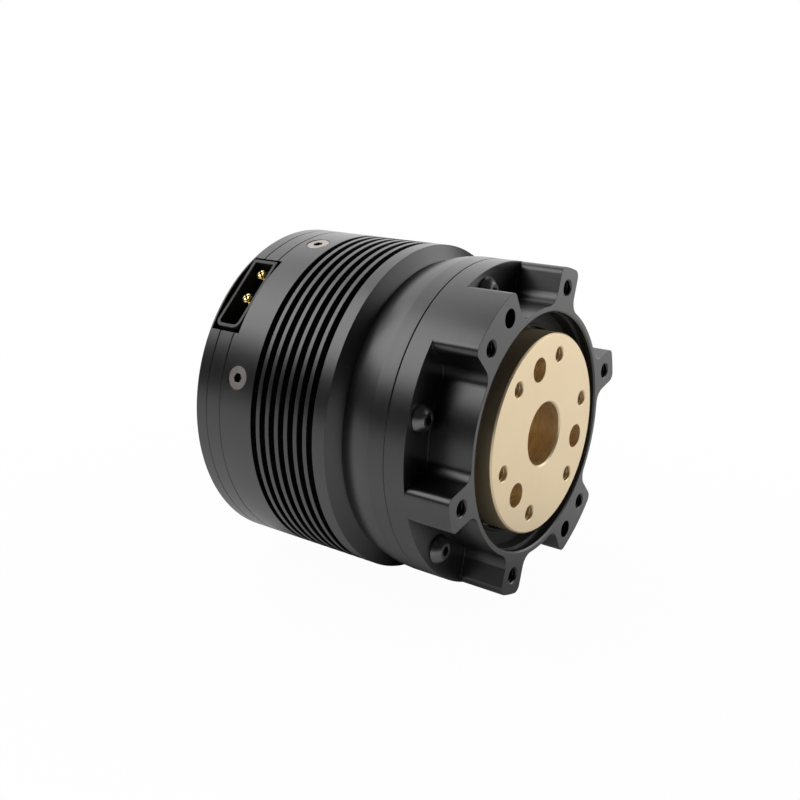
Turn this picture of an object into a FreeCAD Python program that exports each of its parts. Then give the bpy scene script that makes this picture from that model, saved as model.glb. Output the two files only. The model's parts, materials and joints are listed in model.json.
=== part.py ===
"""Robot joint actuator: a finned motor case, a planetary stage and a lugged output housing on one axis.

Frame: +X along the output axis and out of the output face, +Z up, millimetres.
The origin is on the output axis, in the plane of the six mounting lugs.
Angles about the axis are in degrees, from +Y towards +Z.
"""
import FreeCAD, Part
import math
import os

import Sketcher

Vector = FreeCAD.Vector
Placement = FreeCAD.Placement
Rotation = FreeCAD.Rotation
AXIS = Vector(1, 0, 0)

# ---------------------------------------------------------------------------
# Driving dimensions
# ---------------------------------------------------------------------------
SIZES = {
    # Casing, from the lug face back to the rear cover
    "shoulder_length": 1.5,
    "front_land": 2.4,
    "rear_spacer_length": 3.0,
    "rear_cover_length": 2.7,
    "cover_plate": 1.3,
    "cover_edge": 0.4,
    "case_wall": 3.4,
    "bearing_stand": 0.1,
    "case_spigot": 1.4,
    "edge_break": 0.25,
    "seam_break": 0.12,
    "fit_gap": 0.05,
    "spigot_length": 2.0,
    # Cooling grooves
    "groove_count": 7,
    "groove_pitch": 1.95,
    "groove_width": 1.2,
    "groove_depth": 1.5,
    # Mounting lugs and the pockets between them
    "clock_angle": 12.2,
    "lug_count": 6,
    "lug_margin": 3.2,
    "waist_depth": 1.3,
    "bolt_margin": 3.2,
    "twin_angle": 15.0,
    "lug_half_width": 3.0,
    "lug_tip_round": 1.3,
    "lug_root_round": 2.4,
    "rim_wall": 1.0,
    "pocket_floor": 3.7,
    "lug_hole_radius": 1.25,
    "lug_hole_depth": 6.5,
    "twin_hole_radius": 1.5,
    "hole_chamfer": 0.2,
    "tapped_chamfer": 0.12,
    # Output opening and its groove
    "recess_depth": 5.0,
    "opening_step": 1.1,
    "recess_groove_start": 1.1,
    "recess_groove_width": 0.9,
    "recess_groove_depth": 0.35,
    "lip_thickness": 0.6,
    "lip_height": 1.2,
    "lip_clear": 0.9,
    # Seal
    "seal_thickness": 1.0,
    "moving_gap": 0.3,
    # Output flange
    "flange_proud": 0.8,
    "flange_step": 1.3,
    "flange_clear": 0.3,
    "flange_bore": 5.2,
    "flange_bore_floor": 1.9,
    "output_bolt_radius": 1.25,
    "tapped_inset": 3.4,
    "output_hole_depth": 4.2,
    "output_hole_count": 6,
    "dowel_radius": 2.0,
    "dowel_inset": 1.5,
    "dowel_count": 3,
    # Crossed-roller output bearing
    "bearing_width": 6.0,
    "bearing_section": 6.0,
    "spigot_wall": 1.9,
    "bearing_split": 0.15,
    "roller_radius": 1.4,
    "roller_count": 24,
    "roller_gap": 0.05,
    # Planetary gear stage
    "gear_module": 0.6,
    "pressure_angle": 25.0,
    "dedendum_share": 1.25,
    "sun_teeth": 12,
    "planet_teeth": 24,
    "ring_teeth": 60,
    "planet_count": 3,
    "planet_angle": 72.2,
    "tooth_backlash": 0.06,
    "planet_width": 4.8,
    "planet_side_gap": 0.3,
    "ring_gear_width": 6.3,
    "ring_wall": 1.65,
    "ring_web": 1.0,
    # Planet carrier
    "carrier_plate": 1.8,
    "carrier_rim": 4.2,
    "pillar_inset": 1.2,
    "pillar_radius": 1.9,
    "pin_radius": 1.5,
    "pin_seat": 1.4,
    "bush_wall": 0.7,
    "running_gap": 0.03,
    "carrier_screw_radius": 1.0,
    "carrier_screw_head": 1.9,
    "carrier_screw_engagement": 2.6,
    "carrier_hub_radius": 6.0,
    "carrier_hub_bore": 4.6,
    # Small ball bearings: carrier rear, rotor front and rotor rear
    "carrier_bearing_section": 3.0,
    "carrier_bearing_width": 4.0,
    "rotor_front_inner": 3.0,
    "rotor_front_section": 3.5,
    "rotor_front_width": 3.5,
    "rotor_rear_inner": 2.5,
    "rotor_rear_section": 3.0,
    "rotor_rear_width": 4.0,
    "ball_count": 8,
    "ball_share": 0.28,
    "race_land_share": 0.55,
    "seat_wall": 2.0,
    "bearing_web": 0.8,
    # Motor
    "front_recess_depth": 0.9,
    "front_recess_gap": 1.0,
    "front_wall": 3.4,
    "stator_front": 2.8,
    "stator_length": 9.6,
    "stator_section": 10.3,
    "stator_yoke": 2.6,
    "slot_count": 12,
    "tooth_width": 3.4,
    "tooth_tip": 1.2,
    "tooth_gap": 1.4,
    "coil_side": 1.6,
    "coil_end": 2.0,
    "coil_gap": 0.3,
    "coil_slip": 0.1,
    "coil_round": 0.9,
    "air_gap": 0.5,
    "magnet_thickness": 2.2,
    "magnet_count": 14,
    "magnet_fill": 0.86,
    "yoke_thickness": 2.0,
    "yoke_clear": 1.1,
    "rotor_web": 2.5,
    "rotor_web_gap": 1.7,
    "rear_bearing_gap": 1.85,
    "rotor_hub_radius": 5.0,
    "shaft_sun_radius": 2.0,
    "sun_overhang": 0.2,
    # Rear bell, controller board and encoder
    "bell_rim_length": 3.6,
    "bell_rim_wall": 1.8,
    "bell_web": 1.4,
    "bell_throat": 4.0,
    "encoder_magnet_radius": 3.0,
    "encoder_magnet_length": 1.8,
    "encoder_chip_side": 4.0,
    "encoder_chip_height": 0.9,
    "board_thickness": 0.8,
    "board_clear": 0.6,
    "board_lead": 1.35,
    "board_gap": 0.3,
    "post_radius": 1.75,
    "post_inset": 3.6,
    "post_stud_radius": 1.0,
    "post_boss_radius": 2.2,
    "post_count": 6,
    "transistor_side": 4.6,
    "transistor_inset": 11.0,
    "transistor_height": 1.0,
    "transistor_count": 6,
    "transistor_spread": 26.7,
    "capacitor_radius": 2.0,
    "capacitor_inset": 5.5,
    "capacitor_height": 3.4,
    "capacitor_count": 3,
    "capacitor_spread": 60.0,
    "lead_radius": 0.8,
    "lead_inset": 6.0,
    "lead_spread": 14.0,
    "lead_count": 3,
    # Power and signal connector
    "connector_angle": 132.2,
    "window_side_clear": 0.6,
    "window_end_clear": 0.9,
    "connector_width": 13.8,
    "connector_height": 5.1,
    "connector_depth": 10.0,
    "mouth_inset": 0.6,
    "window_margin": 2.4,
    "connector_wall": 0.6,
    "connector_socket": 7.6,
    "connector_corner": 1.3,
    "power_pin_radius": 1.0,
    "power_pin_pitch": 5.0,
    "power_pin_offset": 2.05,
    "signal_pin_radius": 0.35,
    "signal_pin_pitch": 1.7,
    "signal_pin_offset": 4.2,
    "pin_setback": 0.4,
    "signal_pin_setback": 4.0,
    "power_pin_round": 0.5,
    # Fasteners
    "case_screw_radius": 1.25,
    "case_screw_engagement": 3.9,
    "case_screw_root": 1.025,
    "case_screw_clearance": 0.45,
    "case_screw_head": 2.35,
    "case_screw_head_height": 1.5,
    "case_screw_flat": 1.3,
    "case_screw_band": 0.15,
    "case_screw_socket": 0.85,
    "case_screw_socket_depth": 1.1,
    "case_screw_angle": 30.0,
    "screw_hole_gap": 0.1,
    "flush_screw_radius": 1.0,
    "flush_screw_head": 1.9,
    "flush_screw_cone": 1.1,
    "flush_screw_length": 4.6,
    "flush_screw_socket": 0.87,
    "flush_screw_spread": 60.0,
    "flush_screw_inset": 3.2,
    "flush_screw_sink": 0.1,
    "cover_screw_length": 4.0,
}


class Size:
    """A length or angle that keeps both its number and the spreadsheet expression it comes from."""

    def __init__(self, value, expression):
        self.value = float(value)
        self.expression = expression

    def __add__(self, other):
        other = as_size(other)
        return Size(self.value + other.value, f"({self.expression} + {other.expression})")

    def __radd__(self, other):
        return as_size(other) + self

    def __sub__(self, other):
        other = as_size(other)
        return Size(self.value - other.value, f"({self.expression} - {other.expression})")

    def __rsub__(self, other):
        return as_size(other) - self

    def __mul__(self, other):
        other = as_size(other)
        return Size(self.value * other.value, f"({self.expression} * {other.expression})")

    def __rmul__(self, other):
        return as_size(other) * self

    def __truediv__(self, other):
        other = as_size(other)
        return Size(self.value / other.value, f"({self.expression} / {other.expression})")

    def __rtruediv__(self, other):
        return as_size(other) / self

    def __neg__(self):
        return Size(-self.value, f"(-{self.expression})")

    def __float__(self):
        return self.value


def as_size(number):
    return number if isinstance(number, Size) else Size(number, f"{number:g}")


def cosine(angle):
    angle = as_size(angle)
    return Size(math.cos(math.radians(angle.value)), f"cos({angle.expression})")


def sine(angle):
    angle = as_size(angle)
    return Size(math.sin(math.radians(angle.value)), f"sin({angle.expression})")


def square_root(number):
    return Size(math.sqrt(number.value), f"sqrt({number.expression})")


# ---------------------------------------------------------------------------
# Document and spreadsheet
# ---------------------------------------------------------------------------
doc = FreeCAD.newDocument("joint_actuator")
sheet = doc.addObject("Spreadsheet::Sheet", "Sizes")
for row, (alias, number) in enumerate(SIZES.items(), start=1):
    sheet.set(f"A{row}", alias)
    sheet.set(f"B{row}", str(number))
    sheet.setAlias(f"B{row}", alias)
doc.recompute()


class SheetSizes:
    """The spreadsheet's cells by name, as sizes that can be added, scaled and bound."""


s = SheetSizes()
for alias in SIZES:
    setattr(s, alias, Size(sheet.get(alias), f"Sizes.{alias}"))

sub_parts = []

# Stations along the axis, each a plane square to it
x_lip = -s.recess_depth
x_bearing = x_lip - s.lip_thickness
x_bearing_end = x_bearing - s.bearing_width
x_front_seam = x_bearing_end + s.bearing_stand
x_pocket = x_front_seam + s.pocket_floor
x_spigot = x_front_seam + s.spigot_length
x_ring_gear = x_bearing_end - s.ring_web
x_ring_gear_end = x_ring_gear - s.ring_gear_width
x_mid_seam = x_ring_gear_end - s.case_spigot
x_land = x_mid_seam - s.shoulder_length
x_grooves = x_land - s.front_land
x_carrier = x_bearing_end
x_carrier_back = x_carrier - s.carrier_plate
x_planets = x_carrier_back - s.planet_side_gap
x_planets_end = x_planets - s.planet_width
x_rear_plate = x_planets_end - s.planet_side_gap
x_rear_plate_end = x_rear_plate - s.carrier_plate
x_wall = x_mid_seam - s.front_recess_depth
x_wall_end = x_wall - s.front_wall
x_carrier_bearing = x_wall
x_carrier_bearing_end = x_carrier_bearing - s.carrier_bearing_width
x_rotor_front = x_carrier_bearing_end - s.bearing_web
x_rotor_front_end = x_rotor_front - s.rotor_front_width
x_stator = x_wall_end - s.stator_front
x_stator_end = x_stator - s.stator_length
x_rotor_web = x_rotor_front_end - s.rotor_web_gap
x_rotor_web_end = x_rotor_web - s.rotor_web
x_rear_bearing = x_rotor_web_end - s.rear_bearing_gap
x_bell_throat = x_rear_bearing - s.rotor_rear_width
x_bell_web = x_bell_throat - s.bell_web
x_bell_end = x_bell_web - s.bell_web
x_bell = x_bell_end + s.bell_rim_length
x_board = x_bell_end - s.board_gap
x_board_back = x_board - s.board_thickness
x_spacer = x_board - s.board_lead
x_flush_screws = x_spacer + s.flush_screw_inset
x_cover = x_spacer - s.rear_spacer_length
x_rear = x_cover - s.rear_cover_length
x_cover_plate = x_rear + s.cover_plate
x_connector = x_board_back - s.connector_height / 2
window_length = s.connector_height + s.window_end_clear
x_window = x_connector + window_length / 2

# Radii of the gear stage, and of the output end that is built round it
sun_pitch = s.gear_module * s.sun_teeth / 2
planet_pitch = s.gear_module * s.planet_teeth / 2
ring_pitch = s.gear_module * s.ring_teeth / 2
planet_circle = sun_pitch + planet_pitch
carrier_radius = planet_circle + s.carrier_rim
pillar_circle = planet_circle - s.pillar_inset
ring_gear_radius = ring_pitch + s.gear_module * s.dedendum_share + s.ring_wall
bearing_outer = ring_gear_radius - s.spigot_wall
bearing_inner = bearing_outer - s.bearing_section
roller_circle = (bearing_inner + bearing_outer) / 2
recess_radius = bearing_outer + s.opening_step
rim_radius = recess_radius + s.rim_wall
lip_radius = bearing_outer - s.lip_height
flange_radius = lip_radius - s.lip_clear
flange_seat = flange_radius - s.flange_step
output_bolt_circle = flange_radius - s.tapped_inset
dowel_circle = output_bolt_circle - s.dowel_inset
bolt_circle = ring_gear_radius + s.bolt_margin
lug_radius = bolt_circle + s.lug_margin
waist_radius = lug_radius - s.waist_depth

# Radii of the motor, from its front bearing out to the case, and of what the case holds
carrier_bearing_outer = s.carrier_hub_radius + s.carrier_bearing_section
rotor_front_outer = s.rotor_front_inner + s.rotor_front_section
rotor_rear_outer = s.rotor_rear_inner + s.rotor_rear_section
yoke_bore = rotor_front_outer + s.seat_wall + s.yoke_clear
yoke_radius = yoke_bore + s.yoke_thickness
magnet_radius = yoke_radius + s.magnet_thickness
stator_bore = magnet_radius + s.air_gap
case_bore = stator_bore + s.stator_section
body_radius = case_bore + s.case_wall
front_recess_radius = carrier_radius + s.front_recess_gap
board_radius = case_bore - s.board_clear
post_circle = case_bore - s.post_inset
lead_circle = case_bore - s.lead_inset
capacitor_circle = board_radius - s.capacitor_inset
transistor_circle = board_radius - s.transistor_inset
connector_mouth = body_radius - s.mouth_inset
window_floor = connector_mouth - s.connector_depth - s.window_margin
window_width = s.connector_width + 2 * s.window_side_clear


# ---------------------------------------------------------------------------
# Modelling helpers
# ---------------------------------------------------------------------------
def part_body(label):
    body = doc.addObject("PartDesign::Body", label)
    body.Label = label
    sub_parts.append(body)
    return body


def origin_plane(body, role):
    return next(item for item in body.Origin.OriginFeatures if item.Role == role)


def bind(item, field, size):
    """Set a feature's property from the spreadsheet."""
    if isinstance(size, Size):
        item.setExpression(field, size.expression)


def new_sketch(body, name, plane="XY_Plane", station=None, turn=None):
    """A sketch on one of the body's origin planes, lifted by station and turned about its normal."""
    sketch = body.newObject("Sketcher::SketchObject", name)
    sketch.AttachmentSupport = (origin_plane(body, plane), [""])
    sketch.MapMode = "FlatFace"
    lift = station.value if station is not None else 0.0
    angle = turn.value if turn is not None else 0.0
    sketch.AttachmentOffset = Placement(Vector(0, 0, lift), Rotation(Vector(0, 0, 1), angle))
    if station is not None:
        bind(sketch, "AttachmentOffset.Base.z", station)
    if turn is not None:
        bind(sketch, "AttachmentOffset.Rotation.Angle", turn)
    return sketch


def hold_point(sketch, geometry, vertex, x, y):
    """Fix a sketch point at two spreadsheet coordinates."""
    for kind, size in (("DistanceX", as_size(x)), ("DistanceY", as_size(y))):
        index = sketch.addConstraint(Sketcher.Constraint(kind, -1, 1, geometry, vertex, size.value))
        if "Sizes." in size.expression:
            sketch.setExpression(f"Constraints[{index}]", size.expression)


def hold_radius(sketch, geometry, radius):
    index = sketch.addConstraint(Sketcher.Constraint("Radius", geometry, radius.value))
    sketch.setExpression(f"Constraints[{index}]", radius.expression)


def arc_between(start, end, radius, left):
    """The arc of that radius from start to end, with its centre left or right of the way."""
    chord = end - start
    middle = (start + end) / 2
    side = Vector(-chord.y, chord.x, 0).normalize() * (1 if left else -1)
    centre = middle + side * math.sqrt(radius ** 2 - (chord.Length / 2) ** 2)
    halfway = centre + (middle - centre).normalize() * radius
    return Part.Arc(start, halfway, end)


def outline_sketch(body, name, points, plane="XY_Plane", station=None, turn=None):
    """A closed outline. A point is (x, y), or (x, y, radius, left) where an arc leads on from it."""
    sketch = new_sketch(body, name, plane, station, turn)
    corners = [Vector(float(point[0]), float(point[1]), 0) for point in points]
    count = len(points)
    for index, point in enumerate(points):
        start, end = corners[index], corners[(index + 1) % count]
        if len(point) == 4:
            sketch.addGeometry(arc_between(start, end, point[2].value, point[3]))
            hold_radius(sketch, index, point[2])
            first, second = sketch.getPoint(index, 1), sketch.getPoint(index, 2)
            ends = (1, 2) if (first - start).Length < (second - start).Length else (2, 1)
        else:
            sketch.addGeometry(Part.LineSegment(start, end))
            ends = (1, 2)
        points[index] = tuple(point) + (ends,)
    for index in range(count):
        following = (index + 1) % count
        sketch.addConstraint(Sketcher.Constraint(
            "Coincident", index, points[index][-1][1], following, points[following][-1][0]))
    for index, point in enumerate(points):
        hold_point(sketch, index, point[-1][0], point[0], point[1])
    return sketch


def circle_sketch(body, name, circles, plane="YZ_Plane", station=None, turn=None):
    """Circles given as (x, y, radius)."""
    sketch = new_sketch(body, name, plane, station, turn)
    for index, (x, y, radius) in enumerate(circles):
        centre = Vector(float(x), float(y), 0)
        sketch.addGeometry(Part.Circle(centre, Vector(0, 0, 1), radius.value))
        hold_point(sketch, index, 3, x, y)
        hold_radius(sketch, index, radius)
    return sketch


def revolve(body, name, points):
    """Turn an outline of (station, radius) points about the output axis."""
    sketch = outline_sketch(body, name + "_section", points)
    feature = body.newObject("PartDesign::Revolution", name)
    feature.Profile = sketch
    feature.ReferenceAxis = (sketch, ["H_Axis"])
    feature.Angle = 360
    return feature


def groove(body, name, points):
    """Turn an outline about the output axis and take it away."""
    sketch = outline_sketch(body, name + "_section", points)
    feature = body.newObject("PartDesign::Groove", name)
    feature.Profile = sketch
    feature.ReferenceAxis = (sketch, ["H_Axis"])
    feature.Angle = 360
    return feature


def extrude(body, name, sketch, length, kind="Pad", forward=False):
    """Pad or pocket a sketch that lies square to the axis, rearwards unless forward is set."""
    feature = body.newObject("PartDesign::" + kind, name)
    feature.Profile = sketch
    feature.Length = length.value
    bind(feature, "Length", length)
    rearwards_is_reversed = kind == "Pad"
    feature.Reversed = forward != rearwards_is_reversed
    return feature


def polar(body, name, feature, count):
    """Repeat a feature evenly about the output axis."""
    pattern = body.newObject("PartDesign::PolarPattern", name)
    pattern.Originals = [feature]
    pattern.Axis = (origin_plane(body, "X_Axis"), [""])
    pattern.Angle = 360
    pattern.Occurrences = int(float(count))
    if isinstance(count, Size):
        pattern.setExpression("Occurrences", count.expression)
    body.Tip = pattern
    return pattern


def dress(body, name, kind, edges, size):
    """Fillet or chamfer the named edges of the body's last feature."""
    base = body.Tip
    feature = body.newObject("PartDesign::" + kind, name)
    feature.Base = (base, edges)
    field = "Radius" if kind == "Fillet" else "Size"
    setattr(feature, field, size.value)
    bind(feature, field, size)
    body.Tip = feature
    return feature


def edges_where(body, test):
    """Names of the edges of the body's shape that pass the test."""
    doc.recompute()
    shape = body.Tip.Shape
    return [f"Edge{index}" for index, edge in enumerate(shape.Edges, start=1) if test(edge)]


def distance_from_axis(point):
    return math.hypot(point.y, point.z)


def is_ring_edge(edge, station, radius, tolerance=0.01):
    """True for a round edge about the axis at a station and radius."""
    if not isinstance(edge.Curve, Part.Circle):
        return False
    centre = edge.Curve.Center
    on_axis = distance_from_axis(centre) < tolerance
    return (on_axis and abs(centre.x - float(station)) < tolerance
            and abs(edge.Curve.Radius - float(radius)) < tolerance)


def is_hole_edge(edge, station, radius, circle, tolerance=0.01):
    """True for the round mouth of a hole on a bolt circle."""
    if not isinstance(edge.Curve, Part.Circle):
        return False
    centre = edge.Curve.Center
    return (abs(centre.x - float(station)) < tolerance
            and abs(edge.Curve.Radius - float(radius)) < tolerance
            and abs(distance_from_axis(centre) - float(circle)) < tolerance)


def turned_part(label, points):
    """A sub-part that is one turned outline."""
    body = part_body(label)
    revolve(body, label + "_turned", points)
    return body


def shaped_part(label, shape, placement=None):
    """A sub-part whose shape is set in code."""
    feature = doc.addObject("Part::Feature", label)
    feature.Label = label
    feature.Shape = shape
    if placement is not None:
        feature.Placement = placement
    sub_parts.append(feature)
    return feature


def rod(radius, start, end, y=0.0, z=0.0):
    """A cylinder along the axis between two stations."""
    low, high = sorted((float(start), float(end)))
    return Part.makeCylinder(float(radius), high - low, Vector(low, y, z), AXIS)


def ring(inner, outer, start, end):
    return rod(outer, start, end).cut(rod(inner, start, end))


def sector(inner, outer, start, end, span):
    """Part of a ring, as wide as span degrees and centred on +Y."""
    inner, outer, start, end = float(inner), float(outer), float(start), float(end)
    corners = [Vector(start, inner, 0), Vector(start, outer, 0),
               Vector(end, outer, 0), Vector(end, inner, 0)]
    face = Part.Face(Part.makePolygon(corners + [corners[0]]))
    return face.rotated(Vector(0, 0, 0), AXIS, -span / 2).revolve(Vector(0, 0, 0), AXIS, span)


def at_angle(shape, angle):
    """A copy of a shape turned about the output axis."""
    return shape.rotated(Vector(0, 0, 0), AXIS, float(angle))


def around(shape, count, first_angle):
    """Copies of a shape spaced evenly about the output axis."""
    count = int(float(count))
    return [at_angle(shape, float(first_angle) + 360.0 * index / count) for index in range(count)]


def fanned(shape, count, spread, middle_angle):
    """Copies of a shape spread degrees apart, evenly to both sides of the middle angle."""
    count = int(float(count))
    first = float(middle_angle) - float(spread) * (count - 1) / 2
    return [at_angle(shape, first + float(spread) * index) for index in range(count)]


def on_axis_circle(radius, angle):
    return float(radius) * math.cos(math.radians(angle)), float(radius) * math.sin(math.radians(angle))


def spin(edges):
    """A solid turned about the output axis from the edges of a closed outline."""
    return Part.Face(Part.Wire(edges)).revolve(Vector(0, 0, 0), AXIS, 360)


# ---------------------------------------------------------------------------
# Casing
# ---------------------------------------------------------------------------
def radial_holes(body, name, profile):
    """Two opposite pairs of holes square to the axis, for the flush screws.

    The profile lists (hole radius, distance from the axis) from the inner end to the mouth.
    """
    station = x_flush_screws
    corners = [(station, profile[0][1])]
    corners += [(station + radius, distance) for radius, distance in profile]
    corners += [(station, profile[-1][1])]
    half_spread = s.flush_screw_spread / 2
    for side, angle in (("left", s.connector_angle + half_spread), ("right", s.connector_angle - half_spread)):
        sketch = outline_sketch(body, f"{name}_{side}_section", list(corners))
        sketch.AttachmentOffset = Placement(Vector(0, 0, 0), Rotation(AXIS, angle.value))
        bind(sketch, "AttachmentOffset.Rotation.Angle", angle)
        feature = body.newObject("PartDesign::Groove", f"{name}_{side}")
        feature.Profile = sketch
        feature.ReferenceAxis = (sketch, [f"Edge{len(corners)}"])
        feature.Angle = 360
        polar(body, f"{name}_{side}_pair", feature, 2)


def countersink_profile():
    """Clearance hole through the case wall, opened out for a flush head."""
    head = s.flush_screw_head + s.screw_hole_gap
    shank = s.flush_screw_radius + s.screw_hole_gap
    return [
        (shank, case_bore - s.edge_break), (shank, body_radius - s.flush_screw_cone),
        (head, body_radius - s.screw_hole_gap), (head, body_radius + s.edge_break),
    ]


def pocket_outline(half_angle):
    """The scalloped space between two lugs, with its middle along the sketch's X axis."""
    along, across = cosine(half_angle), sine(half_angle)
    width = s.lug_half_width
    floor = square_root(rim_radius * rim_radius - width * width)
    reach = lug_radius + s.lug_tip_round
    mouth = square_root(reach * reach - width * width)
    floor_x, floor_y = floor * along + width * across, floor * across - width * along
    mouth_x, mouth_y = mouth * along + width * across, mouth * across - width * along
    return [
        (floor_x, floor_y),
        (mouth_x, mouth_y, reach, False),
        (mouth_x, -mouth_y),
        (floor_x, -floor_y, rim_radius, True),
    ]


def front_housing():
    """Lugged output housing: mounting face, scalloped pockets, output opening and bearing seat."""
    body = part_body("front_housing")
    groove_front = -s.recess_groove_start
    groove_back = groove_front - s.recess_groove_width
    groove_radius = recess_radius + s.recess_groove_depth
    revolve(body, "housing_blank", [
        (0, recess_radius), (0, lug_radius), (x_front_seam + s.seam_break, lug_radius),
        (x_front_seam, lug_radius - s.seam_break), (x_front_seam, ring_gear_radius),
        (x_spigot, ring_gear_radius),
        (x_spigot, bearing_outer), (x_bearing, bearing_outer), (x_bearing, lip_radius),
        (x_lip, lip_radius), (x_lip, recess_radius), (groove_back, recess_radius),
        (groove_back, groove_radius), (groove_front, groove_radius), (groove_front, recess_radius),
    ])
    step = 360 / s.lug_count
    wide = (step / 2, s.clock_angle + step / 2)
    narrow = ((step - s.twin_angle) / 2, s.clock_angle + step + (step - s.twin_angle) / 2)
    next_wide = (step / 2, s.clock_angle + step * 2 + step / 2)
    for name, (half_angle, middle) in (
            ("pocket_one", wide), ("pocket_two", narrow), ("pocket_three", next_wide)):
        sketch = outline_sketch(body, name + "_outline", pocket_outline(half_angle), "YZ_Plane", turn=middle)
        pocket = extrude(body, name, sketch, -x_pocket, "Pocket")
        polar(body, name + "_pair", pocket, 2)

    floor_station = float(x_pocket)

    def runs_along_pocket(edge, low, high):
        if not isinstance(edge.Curve, Part.Line) or abs(edge.Length + floor_station) > 0.01:
            return False
        radius = distance_from_axis(edge.CenterOfMass)
        return low <= radius <= high

    rim, tip = float(rim_radius), float(lug_radius)
    roots = edges_where(body, lambda edge: runs_along_pocket(edge, rim - 0.01, rim + 0.01))
    dress(body, "pocket_roots", "Fillet", roots, s.lug_root_round)
    tips = edges_where(body, lambda edge: runs_along_pocket(edge, tip - 0.01, tip + 0.01))
    dress(body, "lug_tips", "Fillet", tips, s.lug_tip_round)

    tapped = (bolt_circle, 0, s.lug_hole_radius)
    sketch = circle_sketch(body, "lug_hole_circle", [tapped], turn=s.clock_angle)
    holes = extrude(body, "lug_holes", sketch, s.lug_hole_depth, "Pocket")
    polar(body, "lug_hole_pattern", holes, s.lug_count)
    twin = s.clock_angle + 2 * step - s.twin_angle
    located = (bolt_circle, 0, s.twin_hole_radius)
    sketch = circle_sketch(body, "twin_hole_circle", [located], turn=twin)
    holes = extrude(body, "twin_holes", sketch, s.lug_hole_depth, "Pocket")
    polar(body, "twin_hole_pair", holes, 2)

    clearance = (bolt_circle, 0, s.case_screw_radius + s.case_screw_clearance)
    sketch = circle_sketch(body, "case_screw_circle", [clearance], station=x_pocket,
                           turn=s.clock_angle + s.case_screw_angle)
    holes = extrude(body, "case_screw_holes", sketch, -x_front_seam, "Pocket")
    polar(body, "case_screw_pattern", holes, s.lug_count)

    mouths = edges_where(body, lambda edge: is_hole_edge(edge, 0, s.lug_hole_radius, bolt_circle))
    dress(body, "hole_mouths", "Chamfer", mouths, s.hole_chamfer)
    rims = edges_where(body, lambda edge: is_ring_edge(edge, 0, recess_radius))
    dress(body, "opening_edge", "Chamfer", rims, s.edge_break)


def gearbox_case():
    """Waisted middle case that holds the ring gear and clamps the output bearing."""
    body = part_body("gearbox_case")
    spigot = ring_gear_radius - s.fit_gap
    length = x_front_seam - x_mid_seam
    land, sweep = length / 3, length * 2
    revolve(body, "gearbox_blank", [
        (x_spigot, bearing_outer), (x_spigot, spigot), (x_front_seam, spigot),
        (x_front_seam, lug_radius - s.seam_break), (x_front_seam - s.seam_break, lug_radius),
        (x_front_seam - land, lug_radius, sweep, True), (x_mid_seam, waist_radius),
        (x_mid_seam, ring_gear_radius),
        (x_ring_gear, ring_gear_radius), (x_ring_gear, lip_radius), (x_bearing_end, lip_radius),
        (x_bearing_end, bearing_outer),
    ])
    clearance = (bolt_circle, 0, s.case_screw_radius + s.case_screw_clearance)
    sketch = circle_sketch(body, "case_screw_circle", [clearance], station=x_front_seam,
                           turn=s.clock_angle + s.case_screw_angle)
    holes = extrude(body, "case_screw_holes", sketch, length, "Pocket")
    polar(body, "case_screw_pattern", holes, s.lug_count)


def motor_case():
    """Finned case with the front wall, both front bearing seats and the connector notch."""
    body = part_body("motor_case")
    spigot = ring_gear_radius - s.fit_gap
    spigot_bore = ring_gear_radius - s.seat_wall
    carrier_seat = carrier_bearing_outer
    carrier_boss = carrier_seat + s.seat_wall
    rotor_seat = rotor_front_outer
    rotor_boss = rotor_seat + s.seat_wall
    throat = rotor_front_outer - s.bearing_web
    revolve(body, "case_blank", [
        (x_ring_gear_end, spigot_bore), (x_ring_gear_end, spigot), (x_mid_seam, spigot),
        (x_mid_seam, waist_radius), (x_land, body_radius), (x_spacer + s.seam_break, body_radius),
        (x_spacer, body_radius - s.seam_break), (x_spacer, case_bore), (x_wall_end, case_bore),
        (x_wall_end, carrier_boss),
        (x_carrier_bearing_end, carrier_boss), (x_rotor_front, rotor_boss),
        (x_rotor_front_end, rotor_boss), (x_rotor_front_end, rotor_seat), (x_rotor_front, rotor_seat),
        (x_rotor_front, throat), (x_carrier_bearing_end, throat),
        (x_carrier_bearing_end, carrier_seat), (x_wall, carrier_seat),
        (x_wall, front_recess_radius), (x_mid_seam, front_recess_radius),
        (x_mid_seam, spigot_bore),
    ])
    first = groove(body, "cooling_groove", [
        (x_grooves, body_radius - s.groove_depth), (x_grooves, body_radius + s.edge_break),
        (x_grooves - s.groove_width, body_radius + s.edge_break),
        (x_grooves - s.groove_width, body_radius - s.groove_depth),
    ])
    row = body.newObject("PartDesign::LinearPattern", "cooling_grooves")
    row.Originals = [first]
    row.Direction = (origin_plane(body, "X_Axis"), [""])
    row.Reversed = True
    row.Occurrences = int(float(s.groove_count))
    row.Length = float(s.groove_pitch * (s.groove_count - 1))
    row.setExpression("Occurrences", s.groove_count.expression)
    row.setExpression("Length", (s.groove_pitch * (s.groove_count - 1)).expression)
    body.Tip = row
    radial_holes(body, "bell_screw_hole", countersink_profile())
    depth = s.case_screw_engagement
    sketch = circle_sketch(body, "case_thread_circle", [(bolt_circle, 0, s.case_screw_root)],
                           station=x_mid_seam, turn=s.clock_angle + s.case_screw_angle)
    holes = extrude(body, "case_threads", sketch, depth + s.screw_hole_gap, "Pocket")
    polar(body, "case_thread_pattern", holes, s.lug_count)
    connector_window(body)


def connector_window(body):
    """The milled window for the connector, as far as it crosses this piece."""
    half = window_width / 2
    reach = body_radius + window_length
    sketch = outline_sketch(body, "connector_window_outline", [
        (window_floor, -half), (reach, -half), (reach, half), (window_floor, half),
    ], "YZ_Plane", station=x_window, turn=s.connector_angle)
    window = extrude(body, "connector_window", sketch, window_length, "Pocket")
    body.Tip = window


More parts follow.
